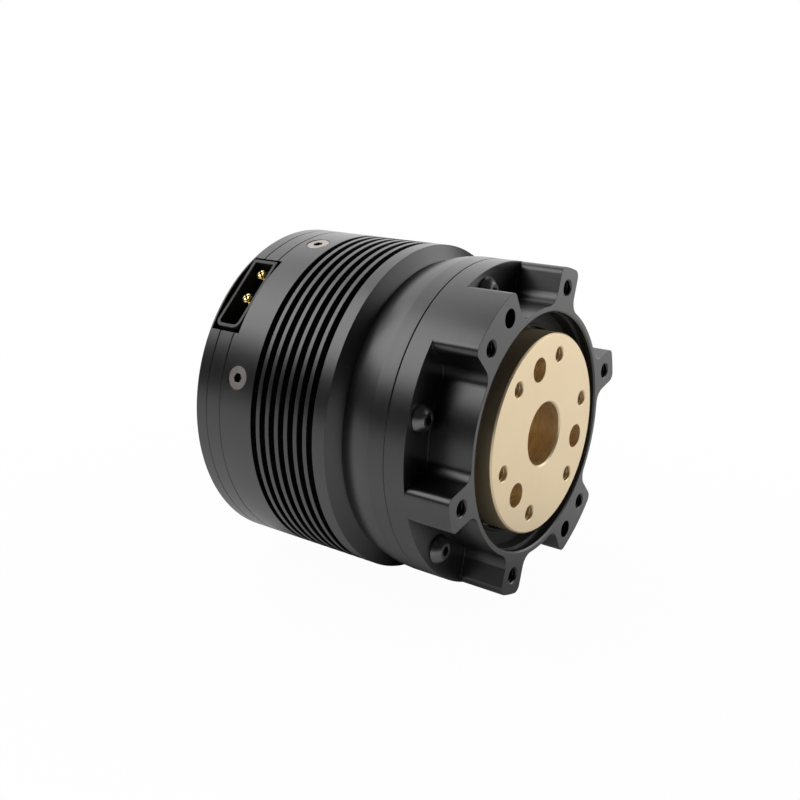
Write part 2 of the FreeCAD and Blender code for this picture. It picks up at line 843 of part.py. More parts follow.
def rear_spacer():
    """Ring between the motor case and the rear cover, round the controller board."""
    body = turned_part("rear_spacer", [
        (x_spacer, case_bore), (x_spacer, body_radius - s.seam_break),
        (x_spacer - s.seam_break, body_radius), (x_cover + s.seam_break, body_radius),
        (x_cover, body_radius - s.seam_break), (x_cover, case_bore),
    ])
    connector_window(body)


def rear_cover():
    """Shallow rear cover with a broken edge and six countersunk screw holes."""
    body = turned_part("rear_cover", [
        (x_cover, case_bore), (x_cover, body_radius - s.seam_break),
        (x_cover - s.seam_break, body_radius), (x_rear + s.cover_edge, body_radius),
        (x_rear, body_radius - s.cover_edge), (x_rear, 0), (x_cover_plate, 0),
        (x_cover_plate, case_bore),
    ])
    connector_window(body)
    turn = s.connector_angle + s.case_screw_angle
    hole = circle_sketch(body, "cover_hole_circle",
                         [(post_circle, 0, s.flush_screw_radius + s.screw_hole_gap)],
                         station=x_cover, turn=turn)
    holes = extrude(body, "cover_holes", hole, s.rear_cover_length, "Pocket")
    polar(body, "cover_hole_pattern", holes, s.post_count)
    mouths = edges_where(body, lambda edge: is_hole_edge(
        edge, x_rear, s.flush_screw_radius + s.screw_hole_gap, post_circle))
    dress(body, "countersinks", "Chamfer", mouths, s.flush_screw_cone - s.screw_hole_gap)


# ---------------------------------------------------------------------------
# Output
# ---------------------------------------------------------------------------
def output_flange():
    """Output disc with its pilot bore, tapped holes and dowel holes, and the hub behind it."""
    x_front = s.flange_proud
    x_disc = x_bearing + s.flange_clear
    body = part_body("output_flange")
    revolve(body, "flange_blank", [
        (x_front, s.flange_bore), (x_front, flange_radius), (x_disc, flange_radius),
        (x_disc, flange_seat), (x_bearing, flange_seat), (x_bearing, bearing_inner),
        (x_carrier, bearing_inner), (x_carrier, 0), (x_carrier + s.flange_bore_floor, 0),
        (x_carrier + s.flange_bore_floor, s.flange_bore),
    ])
    sketch = circle_sketch(body, "tapped_circle", [(output_bolt_circle, 0, s.output_bolt_radius)],
                           station=x_front, turn=s.clock_angle)
    tapped = extrude(body, "tapped_holes", sketch, s.output_hole_depth, "Pocket")
    polar(body, "tapped_pattern", tapped, s.output_hole_count)
    dowel_angle = s.clock_angle + 180 / s.output_hole_count + 360 / s.output_hole_count
    sketch = circle_sketch(body, "dowel_circle", [(dowel_circle, 0, s.dowel_radius)],
                           station=x_front, turn=dowel_angle)
    dowels = extrude(body, "dowel_holes", sketch, s.output_hole_depth, "Pocket")
    polar(body, "dowel_pattern", dowels, s.dowel_count)
    thread = (pillar_circle, 0, s.carrier_screw_radius)
    sketch = circle_sketch(body, "carrier_thread_circle", [thread], station=x_carrier,
                           turn=s.planet_angle + 180 / s.planet_count)
    threads = extrude(body, "carrier_threads", sketch,
                      s.carrier_screw_engagement + s.screw_hole_gap, "Pocket", forward=True)
    polar(body, "carrier_thread_pattern", threads, s.planet_count)
    edges = edges_where(body, lambda edge: (
        is_ring_edge(edge, x_front, s.flange_bore) or is_ring_edge(edge, x_front, flange_radius)))
    dress(body, "flange_edges", "Chamfer", edges, s.edge_break)
    mouths = edges_where(body, lambda edge: is_hole_edge(
        edge, x_front, s.output_bolt_radius, output_bolt_circle))
    dress(body, "tapped_mouths", "Chamfer", mouths, s.tapped_chamfer)


def output_seal():
    """Rubber seal ring at the bottom of the output opening."""
    turned_part("output_seal", [
        (x_lip + s.seal_thickness, flange_radius + s.moving_gap),
        (x_lip + s.seal_thickness, recess_radius), (x_lip, recess_radius),
        (x_lip, flange_radius + s.moving_gap),
    ])


def output_bearing():
    """Crossed-roller bearing: two rings with a square race and rollers that alternate in slope."""
    middle = x_bearing - s.bearing_width / 2
    race = s.roller_radius * math.sqrt(2)
    inner_race = race + s.roller_gap / 2
    outer_race = race + s.roller_gap * 2
    inner_land = roller_circle - s.bearing_split
    outer_land = roller_circle + s.bearing_split
    inner_half = inner_race - s.bearing_split
    outer_half = outer_race - s.bearing_split
    turned_part("output_bearing_inner", [
        (x_bearing, bearing_inner), (x_bearing, inner_land), (middle + inner_half, inner_land),
        (middle, roller_circle - inner_race), (middle - inner_half, inner_land),
        (x_bearing_end, inner_land), (x_bearing_end, bearing_inner),
    ])
    turned_part("output_bearing_outer", [
        (x_bearing, bearing_outer), (x_bearing_end, bearing_outer), (x_bearing_end, outer_land),
        (middle - outer_half, outer_land), (middle, roller_circle + outer_race),
        (middle + outer_half, outer_land), (x_bearing, outer_land),
    ])
    half_length = float(s.roller_radius - s.roller_gap)
    circle = float(roller_circle)
    rollers = []
    count = int(float(s.roller_count))
    for index in range(count):
        slope = 1 if index % 2 else -1
        direction = Vector(1, slope, 0).normalize()
        centre = Vector(float(middle), circle, 0)
        roller = Part.makeCylinder(
            float(s.roller_radius), 2 * half_length, centre - direction * half_length, direction)
        rollers.append(at_angle(roller, 360.0 * index / count))
    shaped_part("output_bearing_rollers", Part.makeCompound(rollers))


# ---------------------------------------------------------------------------
# Planetary gear stage
# ---------------------------------------------------------------------------
def involute(angle):
    return math.tan(angle) - angle


def gear_section(teeth, outer_reach, inner_reach, thinning, first_angle):
    """Closed outline of involute teeth, each with a flank in two straight runs, in the YZ plane.

    outer_reach and inner_reach are the tip and root distances from the pitch circle. thinning is
    taken off each flank at the pitch circle, and is negative for the spaces of a ring gear.
    """
    teeth = int(float(teeth))
    pitch = float(s.gear_module) * teeth / 2
    slope = math.radians(float(s.pressure_angle))
    base = pitch * math.cos(slope)
    tip, root = pitch + outer_reach, pitch - inner_reach
    half_tooth = math.pi / (2 * teeth) - thinning / pitch
    pitch_angle = 2 * math.pi / teeth

    def half_angle(radius):
        if radius <= base:
            return half_tooth + involute(slope)
        return half_tooth + involute(slope) - involute(math.acos(base / radius))

    flank = [root, max(root, base), pitch, tip]
    if flank[1] - flank[0] < 0.01:
        flank.pop(0)
    points = []
    for index in range(teeth):
        centre = math.radians(first_angle) + index * pitch_angle
        rising = [(radius, centre - half_angle(radius)) for radius in flank]
        falling = [(radius, centre + half_angle(radius)) for radius in reversed(flank)]
        for radius, angle in rising + falling:
            points.append(Vector(0, radius * math.cos(angle), radius * math.sin(angle)))
    return Part.Face(Part.makePolygon(points + [points[0]]))


def planetary_gears():
    """Sun, three planets and the ring gear, in mesh as they stand."""
    module = float(s.gear_module)
    addendum, dedendum = module, module * float(s.dedendum_share)
    thinning = float(s.tooth_backlash) / 2
    half_sun_pitch = 180.0 / float(s.sun_teeth)

    sun = gear_section(s.sun_teeth, addendum, dedendum, thinning, float(s.planet_angle) + half_sun_pitch)
    sun_front = float(x_planets + s.sun_overhang)
    sun_back = float(x_planets_end - s.sun_overhang)
    sun = sun.extrude(AXIS * (sun_back - sun_front)).translated(AXIS * sun_front)
    shaped_part("sun_gear", sun.cut(rod(s.shaft_sun_radius, sun_front, sun_back)))

    spaces = gear_section(s.ring_teeth, dedendum, addendum, -thinning, float(s.planet_angle))
    width = float(s.ring_gear_width)
    spaces = spaces.extrude(AXIS * -width).translated(AXIS * float(x_ring_gear))
    ring_gear = rod(ring_gear_radius, x_ring_gear, x_ring_gear_end).cut(spaces)
    shaped_part("ring_gear", ring_gear)

    bush_radius = s.pin_radius + s.running_gap + s.bush_wall
    planet = gear_section(s.planet_teeth, addendum, dedendum, thinning, 0.0)
    planet = planet.extrude(AXIS * -float(s.planet_width))
    planet = planet.cut(rod(bush_radius, 0, -s.planet_width))
    bush = ring(s.pin_radius + s.running_gap, bush_radius, 0, -s.planet_width)
    count = int(float(s.planet_count))
    for index in range(count):
        angle = float(s.planet_angle) + 360.0 * index / count
        y, z = on_axis_circle(planet_circle, angle)
        place = Placement(Vector(float(x_planets), y, z), Rotation(AXIS, angle))
        shaped_part(f"planet_gear_{index + 1}", planet, place)
        shaped_part(f"planet_bush_{index + 1}", bush, place)


def planet_carrier():
    """Front carrier plate with its three pillars, rear plate with hub, planet pins and screws."""
    body = part_body("planet_carrier")
    revolve(body, "carrier_plate", [
        (x_carrier, 0), (x_carrier, carrier_radius),
        (x_carrier_back, carrier_radius), (x_carrier_back, 0),
    ])
    pillar_angle = s.planet_angle + 180 / s.planet_count
    sketch = circle_sketch(body, "pillar_circle", [(pillar_circle, 0, s.pillar_radius)],
                           station=x_carrier_back, turn=pillar_angle)
    pillars = extrude(body, "pillars", sketch, s.planet_width + 2 * s.planet_side_gap)
    polar(body, "pillar_pattern", pillars, s.planet_count)
    drill(body, "screw_hole", pillar_circle, s.carrier_screw_radius + s.screw_hole_gap,
          x_carrier, s.carrier_plate * 2 + s.planet_width + 2 * s.planet_side_gap, pillar_angle)
    drill(body, "pin_seat", planet_circle, s.pin_radius, x_carrier_back + s.pin_seat, s.pin_seat,
          s.planet_angle)

    body = part_body("carrier_rear_plate")
    revolve(body, "rear_plate", [
        (x_rear_plate, s.carrier_hub_bore), (x_rear_plate, carrier_radius),
        (x_rear_plate_end, carrier_radius), (x_rear_plate_end, s.carrier_hub_radius),
        (x_carrier_bearing_end + s.edge_break, s.carrier_hub_radius),
        (x_carrier_bearing_end + s.edge_break, s.carrier_hub_bore),
    ])
    drill(body, "screw_hole", pillar_circle, s.carrier_screw_radius + s.screw_hole_gap,
          x_rear_plate, s.carrier_plate, pillar_angle)
    drill(body, "screw_recess", pillar_circle, s.carrier_screw_head + s.screw_hole_gap,
          x_rear_plate - s.carrier_plate / 2, s.carrier_plate / 2, pillar_angle)
    drill(body, "pin_seat", planet_circle, s.pin_radius, x_rear_plate, s.pin_seat, s.planet_angle)

    y, z = on_axis_circle(planet_circle, 0)
    pin = rod(s.pin_radius, x_carrier_back + s.pin_seat, x_rear_plate - s.pin_seat, y, z)
    shaped_part("planet_pins", Part.makeCompound(around(pin, s.planet_count, s.planet_angle)))

    y, z = on_axis_circle(pillar_circle, 0)
    head_seat = x_rear_plate - s.carrier_plate / 2
    shank = rod(s.carrier_screw_radius, x_carrier + s.carrier_screw_engagement, head_seat, y, z)
    head = rod(s.carrier_screw_head, head_seat, x_rear_plate_end, y, z)
    screw = shank.fuse(head).removeSplitter()
    shaped_part("carrier_screws", Part.makeCompound(around(screw, s.planet_count, pillar_angle)))


def drill(body, name, circle, radius, station, depth, turn):
    """Evenly spaced holes drilled rearwards from a station, one to each planet."""
    sketch = circle_sketch(body, name + "_circle", [(circle, 0, radius)], station=station, turn=turn)
    holes = extrude(body, name, sketch, depth, "Pocket")
    polar(body, name + "_pattern", holes, s.planet_count)


# ---------------------------------------------------------------------------
# Small ball bearings
# ---------------------------------------------------------------------------
def ball_bearing(name, inner, outer, start, width):
    """Rings with round grooves and a set of balls: two turned parts and a group."""
    middle = float(start - width / 2)
    circle = float(inner + outer) / 2
    ball = float((outer - inner) * s.ball_share)
    land = ball * float(s.race_land_share)
    race_gap = float(s.roller_gap)
    inner_ring = ring(inner, circle - land, start, start - width)
    outer_ring = ring(circle + land, outer, start, start - width)
    centre = Vector(middle, 0, 0)
    race = Part.makeTorus(circle, ball + race_gap / 2, centre, AXIS)
    outer_race = Part.makeTorus(circle, ball + race_gap, centre, AXIS)
    shaped_part(name + "_inner", inner_ring.cut(race))
    shaped_part(name + "_outer", outer_ring.cut(outer_race))
    one = Part.makeSphere(ball, Vector(middle, circle, 0))
    shaped_part(name + "_balls", Part.makeCompound(around(one, s.ball_count, 0)))


def small_bearings():
    ball_bearing("carrier_bearing", s.carrier_hub_radius, carrier_bearing_outer,
                 x_carrier_bearing, s.carrier_bearing_width)
    ball_bearing("rotor_front_bearing", s.rotor_front_inner, rotor_front_outer,
                 x_rotor_front, s.rotor_front_width)
    ball_bearing("rotor_rear_bearing", s.rotor_rear_inner, rotor_rear_outer,
                 x_rear_bearing, s.rotor_rear_width)


# ---------------------------------------------------------------------------
# Motor
# ---------------------------------------------------------------------------
def stator():
    """Laminated core with one tooth to each slot, and a coil round every tooth."""
    count = int(float(s.slot_count))
    bore, outer = float(stator_bore), float(case_bore)
    yoke = outer - float(s.stator_yoke)
    front, back = float(x_stator), float(x_stator_end)
    width, tip = float(s.tooth_width), float(s.tooth_tip)
    core = ring(yoke, outer, front, back)
    tooth = Part.makeBox(front - back, yoke - bore, width, Vector(back, bore + tip / 2, -width / 2))
    shoe_angle = 360.0 / count - math.degrees(float(s.tooth_gap) / bore)
    shoe = sector(bore, bore + tip, front, back, shoe_angle)
    pieces = [core]
    for part in around(tooth.fuse(shoe), count, s.clock_angle):
        pieces.append(part)
    shaped_part("stator_core", pieces[0].multiFuse(pieces[1:]).removeSplitter())

    gap, side, end = float(s.coil_gap), float(s.coil_side), float(s.coil_end)
    inside = bore + tip + gap
    outside = yoke - gap
    block = Part.makeBox(front - back + 2 * end, outside - inside, width + 2 * side,
                         Vector(back - end, inside, -width / 2 - side))
    slip = float(s.coil_slip)
    hole = Part.makeBox(front - back + 2 * slip, outside - inside, width + 2 * slip,
                        Vector(back - slip, inside, -width / 2 - slip))
    coil = block.cut(hole)
    rounded = [edge for edge in coil.Edges if abs(edge.Length - (outside - inside)) < 0.01
               and abs(abs(edge.CenterOfMass.z) - width / 2 - side) < 0.01]
    coil = coil.makeFillet(float(s.coil_round), rounded)
    shaped_part("stator_windings", Part.makeCompound(around(coil, count, s.clock_angle)))

    lead = rod(s.lead_radius, back - end, x_board, *on_axis_circle(lead_circle, 0))
    leads = fanned(lead, s.lead_count, s.lead_spread, s.connector_angle + 180)
    shaped_part("phase_leads", Part.makeCompound(leads))


def rotor():
    """Shaft, hub with its web and yoke, surface magnets and the encoder magnet."""
    body = part_body("rotor_hub")
    revolve(body, "hub_turned", [
        (x_stator, yoke_bore), (x_stator, yoke_radius), (x_stator_end, yoke_radius),
        (x_stator_end, yoke_bore), (x_rotor_web_end, yoke_bore),
        (x_rotor_web_end, s.rotor_front_inner), (x_rotor_front_end - s.moving_gap, s.rotor_front_inner),
        (x_rotor_front_end - s.moving_gap, s.rotor_hub_radius), (x_rotor_web, s.rotor_hub_radius),
        (x_rotor_web, yoke_bore),
    ])
    x_shaft_end = x_bell_throat
    turned_part("rotor_shaft", [
        (x_planets + s.sun_overhang, 0), (x_planets + s.sun_overhang, s.shaft_sun_radius),
        (x_carrier_bearing_end, s.shaft_sun_radius), (x_carrier_bearing_end, s.rotor_front_inner),
        (x_rotor_web_end, s.rotor_front_inner), (x_rotor_web_end, s.rotor_rear_inner),
        (x_shaft_end, s.rotor_rear_inner), (x_shaft_end, 0),
    ])
    count = int(float(s.magnet_count))
    span = 360.0 / count * float(s.magnet_fill)
    magnet = sector(yoke_radius, magnet_radius, x_stator, x_stator_end, span)
    shaped_part("rotor_magnets", Part.makeCompound(around(magnet, count, s.clock_angle)))
    turned_part("encoder_magnet", [
        (x_shaft_end, 0), (x_shaft_end, s.encoder_magnet_radius),
        (x_shaft_end - s.encoder_magnet_length, s.encoder_magnet_radius),
        (x_shaft_end - s.encoder_magnet_length, 0),
    ])


# ---------------------------------------------------------------------------
# Rear bell, controller board and connector
# ---------------------------------------------------------------------------
def rear_bell():
    """Rear end plate of the motor: rim behind the flush screws, web and bearing boss."""
    body = part_body("rear_bell")
    seat = rotor_rear_outer
    revolve(body, "bell_blank", [
        (x_bell, case_bore - s.bell_rim_wall), (x_bell, case_bore), (x_bell_end, case_bore),
        (x_bell_end, s.bell_throat), (x_bell_throat, s.bell_throat), (x_bell_throat, seat),
        (x_rear_bearing, seat), (x_rear_bearing, seat + s.seat_wall), (x_bell_web, seat + s.seat_wall),
        (x_bell_web, case_bore - s.bell_rim_wall),
    ])
    turn = s.connector_angle + s.case_screw_angle
    sketch = circle_sketch(body, "post_boss_circle", [(post_circle, 0, s.post_boss_radius)],
                           station=x_bell_end, turn=turn)
    bosses = extrude(body, "post_bosses", sketch, x_bell_end - x_board)
    polar(body, "post_boss_pattern", bosses, s.post_count)
    sketch = circle_sketch(body, "post_thread_circle", [(post_circle, 0, s.post_stud_radius)],
                           station=x_bell_web, turn=turn)
    threads = extrude(body, "post_threads", sketch, x_bell_web - x_board, "Pocket")
    polar(body, "post_thread_pattern", threads, s.post_count)
    count = int(float(s.lead_count))
    for index in range(count):
        angle = s.connector_angle + 180 + s.lead_spread * (index - (count - 1) / 2)
        sketch = circle_sketch(
            body, f"lead_hole_circle_{index + 1}", [(lead_circle, 0, s.lead_radius + s.moving_gap)],
            station=x_bell_web, turn=angle)
        body.Tip = extrude(body, f"lead_hole_{index + 1}", sketch, s.bell_web, "Pocket")
    radial_holes(body, "bell_thread", [
        (s.flush_screw_radius, case_bore - s.bell_rim_wall - s.edge_break),
        (s.flush_screw_radius, case_bore + s.edge_break),
    ])


def controller_board():
    """Round board with its power transistors, capacitors, encoder chip and cover posts."""
    body = part_body("controller_board")
    revolve(body, "board_disc", [
        (x_board, 0), (x_board, board_radius), (x_board_back, board_radius), (x_board_back, 0),
    ])
    turn = s.connector_angle + s.case_screw_angle
    sketch = circle_sketch(body, "post_hole_circle", [(post_circle, 0, s.post_stud_radius)],
                           station=x_board, turn=turn)
    holes = extrude(body, "post_holes", sketch, s.board_thickness, "Pocket")
    polar(body, "post_hole_pattern", holes, s.post_count)

    side, height = float(s.encoder_chip_side), float(s.encoder_chip_height)
    chip = Part.makeBox(height, side, side, Vector(float(x_board), -side / 2, -side / 2))
    shaped_part("encoder_chip", at_angle(chip, s.connector_angle))

    side, height = float(s.transistor_side), float(s.transistor_height)
    chip = Part.makeBox(height, side, side, Vector(
        float(x_board_back) - height, float(transistor_circle) - side / 2, -side / 2))
    opposite = s.connector_angle + 180
    chips = fanned(chip, s.transistor_count, s.transistor_spread, opposite)
    shaped_part("power_transistors", Part.makeCompound(chips))

    post = rod(s.post_radius, x_board_back, x_cover_plate, *on_axis_circle(post_circle, 0))
    stud = rod(s.post_stud_radius, x_bell_web, x_board_back, *on_axis_circle(post_circle, 0))
    screw_hole = rod(s.flush_screw_radius, x_cover_plate, x_rear + s.cover_screw_length,
                     *on_axis_circle(post_circle, 0))
    post = post.fuse(stud).cut(screw_hole)
    shaped_part("cover_posts", Part.makeCompound(around(post, s.post_count, turn)))

    can = rod(s.capacitor_radius, x_board_back, x_board_back - s.capacitor_height,
              *on_axis_circle(capacitor_circle, 0))
    cans = fanned(can, s.capacitor_count, s.capacitor_spread, opposite)
    shaped_part("capacitors", Part.makeCompound(cans))


def connector_frame():
    """Placement of the connector.

    Local X runs out of its mouth, local Y across it with rising angle, and local Z rearwards.
    """
    angle = float(s.connector_angle)
    out = Vector(0, math.cos(math.radians(angle)), math.sin(math.radians(angle)))
    across = Vector(0, -math.sin(math.radians(angle)), math.cos(math.radians(angle)))
    turn = Rotation(out, across, Vector(-1, 0, 0), "XYZ")
    return Placement(Vector(float(x_connector), 0, 0), turn)


def connector():
    """Board connector: shell with two keyed corners, two power pins and two signal pins."""
    mouth, depth = float(connector_mouth), float(s.connector_depth)
    width, height = float(s.connector_width), float(s.connector_height)
    wall, corner = float(s.connector_wall), float(s.connector_corner)
    block = Part.makeBox(depth, width, height, Vector(mouth - depth, -width / 2, -height / 2))
    keyed = [edge for edge in block.Edges if abs(edge.Length - depth) < 0.01
             and abs(edge.CenterOfMass.y - width / 2) < 0.01]
    block = block.makeFillet(corner, keyed)
    socket_depth = float(s.connector_socket)
    socket = Part.makeBox(socket_depth, width - 2 * wall, height - 2 * wall,
                          Vector(mouth - socket_depth, wall - width / 2, wall - height / 2))
    keyed = [edge for edge in socket.Edges if abs(edge.Length - socket_depth) < 0.01
             and abs(edge.CenterOfMass.y - width / 2 + wall) < 0.01]
    socket = socket.makeFillet(corner - wall, keyed)
    shell = block.cut(socket)

    floor = mouth - depth
    tip = mouth - float(s.pin_setback)
    pitch, offset = float(s.power_pin_pitch), float(s.power_pin_offset)
    radius = float(s.power_pin_radius)
    out = Vector(1, 0, 0)
    power = []
    for across in (-offset - pitch / 2, -offset + pitch / 2):
        pin = Part.makeCylinder(radius, tip - floor, Vector(floor, across, 0), out)
        end = [edge for edge in pin.Edges if abs(edge.CenterOfMass.x - tip) < 0.01]
        power.append(pin.makeFillet(float(s.power_pin_round), end))
    thin = float(s.signal_pin_radius)
    signal_tip = mouth - float(s.signal_pin_setback)
    signal = []
    for lift in (-float(s.signal_pin_pitch) / 2, float(s.signal_pin_pitch) / 2):
        place = Vector(floor, float(s.signal_pin_offset), lift)
        signal.append(Part.makeCylinder(thin, signal_tip - floor, place, out))
    for pin in power + signal:
        shell = shell.cut(pin)
    frame = connector_frame()
    shaped_part("connector_shell", shell, frame)
    shaped_part("power_pins", Part.makeCompound(power), frame)
    shaped_part("signal_pins", Part.makeCompound(signal), frame)


# ---------------------------------------------------------------------------
# Fasteners
# ---------------------------------------------------------------------------
def hexagon_socket(radius, depth):
    """A hexagonal prism that starts at the origin and runs rearwards."""
    corners = [Vector(0, *on_axis_circle(radius, angle)) for angle in range(0, 360, 60)]
    return Part.Face(Part.makePolygon(corners + [corners[0]])).extrude(AXIS * -float(depth))


def case_screws():
    """Long button-head screws that stand in the pockets and clamp the three front cases."""
    seat = float(x_pocket)
    head, flat = float(s.case_screw_head), float(s.case_screw_flat)
    band, top = float(s.case_screw_band), float(s.case_screw_head_height)
    dome_centre = (top ** 2 + flat ** 2 - band ** 2 - head ** 2) / (2 * (top - band))
    dome_radius = math.hypot(top - dome_centre, flat)
    slope = (math.atan2(flat, top - dome_centre) + math.atan2(head, band - dome_centre)) / 2
    halfway = Vector(dome_centre + dome_radius * math.cos(slope), dome_radius * math.sin(slope), 0)
    dome = Part.Arc(Vector(top, flat, 0), halfway, Vector(band, head, 0)).toShape()
    shank, root = s.case_screw_radius, s.case_screw_root
    thread = float(x_mid_seam) - seat
    end = thread - float(s.case_screw_engagement)
    screw = spin([dome] + straight_edges([
        (band, head), (0, head), (0, shank), (thread, shank), (thread, root), (end, root),
        (end, 0), (top, 0), (top, flat)]))
    socket = hexagon_socket(s.case_screw_socket, s.case_screw_socket_depth)
    screw = screw.cut(socket.translated(AXIS * top))
    screw = screw.translated(Vector(seat, float(bolt_circle), 0))
    angle = s.clock_angle + s.case_screw_angle
    shaped_part("case_screws", Part.makeCompound(around(screw, s.lug_count, angle)))


def straight_edges(points):
    """Lines that join (station, radius) points in turn."""
    corners = [Vector(float(x), float(y), 0) for x, y in points]
    return [Part.makeLine(first, second) for first, second in zip(corners, corners[1:])]


def flush_screw(length):
    """A countersunk screw whose head lies flush with the plane x = 0, shank running rearwards."""
    head, shank = s.flush_screw_head, s.flush_screw_radius
    rim, cone = -s.screw_hole_gap, -s.flush_screw_cone
    screw = spin(straight_edges([
        (0, 0), (0, head), (rim, head), (cone, shank), (-length, shank), (-length, 0), (0, 0)]))
    return screw.cut(hexagon_socket(s.flush_screw_socket, s.flush_screw_cone))


def flush_screws():
    """Bright countersunk screws: four through the case into the bell, six into the cover posts."""
    screw = flush_screw(s.flush_screw_length)
    screw = screw.rotated(Vector(0, 0, 0), Vector(0, 0, 1), 90)
    reach = float(body_radius - s.flush_screw_sink)
    screw = screw.translated(Vector(float(x_flush_screws), reach, 0))
    pair = fanned(screw, 2, s.flush_screw_spread, s.connector_angle)
    opposite = fanned(screw, 2, s.flush_screw_spread, s.connector_angle + 180)
    shaped_part("bell_screws", Part.makeCompound(pair + opposite))

    screw = flush_screw(s.cover_screw_length)
    screw = screw.rotated(Vector(0, 0, 0), Vector(0, 0, 1), 180)
    screw = screw.translated(Vector(float(x_rear), float(post_circle), 0))
    angle = s.connector_angle + s.case_screw_angle
    shaped_part("cover_screws", Part.makeCompound(around(screw, s.post_count, angle)))


# ---------------------------------------------------------------------------
# Build, check and export
# ---------------------------------------------------------------------------
front_housing()
gearbox_case()
motor_case()
rear_spacer()
rear_cover()
output_flange()
output_seal()
output_bearing()
planetary_gears()
planet_carrier()
small_bearings()
stator()
rotor()
rear_bell()
controller_board()
connector()
case_screws()
flush_screws()
doc.recompute()

for item in doc.Objects:
    if "Invalid" in item.State or "Error" in item.State:
        raise RuntimeError(f"{item.Name} failed: {item.State}")
for item in sub_parts:
    if item.Shape.isNull() or not item.Shape.isValid():
        raise RuntimeError(f"{item.Label} has no valid shape")

os.makedirs("parts", exist_ok=True)
for item in sub_parts:
    item.Shape.exportStep(f"parts/{item.Label}.step")
    print(f"{item.Label}: {len(item.Shape.Solids)} solid(s), {item.Shape.Volume:.1f} mm3")
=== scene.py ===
# %% [markdown]
# # A robot joint actuator
# The object is a short geared motor. A black anodised casing in several turned pieces holds
# a brushless motor and a planetary gear stage, and a pale gold disc at the front is its output.
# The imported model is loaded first. Its parts already stand where they belong, so this lesson
# gives them their finishes and adds the small forms that catch the eye: threads in the tapped
# holes, slotted contacts and a seal lip.

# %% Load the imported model
import json
import math

import bpy
from mathutils import Matrix, Vector


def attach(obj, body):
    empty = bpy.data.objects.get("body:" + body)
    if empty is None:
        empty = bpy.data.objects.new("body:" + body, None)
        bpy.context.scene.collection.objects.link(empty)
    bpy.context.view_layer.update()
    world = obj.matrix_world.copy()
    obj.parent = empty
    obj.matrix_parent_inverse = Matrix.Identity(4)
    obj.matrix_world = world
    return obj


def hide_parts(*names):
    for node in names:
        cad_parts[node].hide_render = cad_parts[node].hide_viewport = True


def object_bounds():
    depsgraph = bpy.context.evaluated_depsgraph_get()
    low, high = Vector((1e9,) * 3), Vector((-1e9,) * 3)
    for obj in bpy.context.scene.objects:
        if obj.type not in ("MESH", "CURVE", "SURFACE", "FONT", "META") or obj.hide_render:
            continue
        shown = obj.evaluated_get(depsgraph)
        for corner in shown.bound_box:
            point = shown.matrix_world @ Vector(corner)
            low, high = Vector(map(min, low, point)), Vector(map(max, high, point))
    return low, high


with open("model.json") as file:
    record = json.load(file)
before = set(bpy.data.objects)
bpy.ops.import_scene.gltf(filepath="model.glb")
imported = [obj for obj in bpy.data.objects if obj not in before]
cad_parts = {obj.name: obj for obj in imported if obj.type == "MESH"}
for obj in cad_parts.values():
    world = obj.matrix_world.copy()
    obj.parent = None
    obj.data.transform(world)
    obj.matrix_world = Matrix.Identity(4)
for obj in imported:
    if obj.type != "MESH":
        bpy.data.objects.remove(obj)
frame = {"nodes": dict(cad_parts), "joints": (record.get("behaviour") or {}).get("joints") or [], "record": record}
cad_box = [list(corner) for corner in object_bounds()]
nodes = frame["nodes"]
MM = 0.001
print("parts:", len(nodes))
print("box in mm:", [[round(v / MM, 1) for v in corner] for corner in cad_box])

# %% [markdown]
# Everything on this object is arranged round its output axis, which is the world's X axis.
# The bolt circles come from the model's record. It gives no angle for their holes, but the first
# planet gear stands in line with one hole of each circle, so its joint gives that angle.

# %% Places that the model gives
mounts = {mount["name"]: mount for mount in frame["record"]["mounts"]}
joints = {joint["name"]: joint for joint in frame["joints"]}
gear_place = joints["planet_1_spin"]["pos_m"]
hole_angle = math.atan2(gear_place[2], gear_place[1])
face_x = mounts["output_bolts"]["pos_m"][0]
lug_x = mounts["housing_bolts"]["pos_m"][0]
case_radius = cad_box[1][1]
rear_x = cad_box[0][0]


def on_circle(radius, angle, x):
    """A point at a radius and angle round the output axis."""
    return Vector((x, radius * math.cos(angle), radius * math.sin(angle)))


print("first hole at", round(math.degrees(hole_angle), 1), "degrees")
print("output face at", face_x / MM, "mm")

# %% [markdown]
# The camera looks at the actuator from its output side, a little above it. A 47 mm lens on a
# 36 mm sensor, held fairly close, gives the slight narrowing towards the back of the case.

# %% Camera
camera_data = bpy.data.cameras.new("camera")
camera_data.lens = 47.18
camera_data.sensor_width = 36
camera_data.clip_start = 0.01
camera = bpy.data.objects.new("camera", camera_data)
camera.location = (0.07501, -0.14174, 0.05731)
camera.rotation_euler = (math.radians(71.954), 0, math.radians(35.964))
bpy.context.scene.collection.objects.link(camera)
bpy.context.scene.camera = camera
print("camera stands", round(camera.location.length / MM), "mm from the mounting face")

# %% [markdown]
# Shader maths reads best as plain expressions. This small class wraps an output socket, so that
# `a * 2 + b` adds the Math nodes itself, and `Finish.node` adds any other node in one line.

# %% A socket that can be added and multiplied
NOISE_ROUGHNESS = 0.6
BEVEL_SAMPLES = 6
MIX_SHARE, MIX_FIRST, MIX_SECOND, MIX_RESULT = 0, 6, 7, 2   # a Mix node's colour sockets


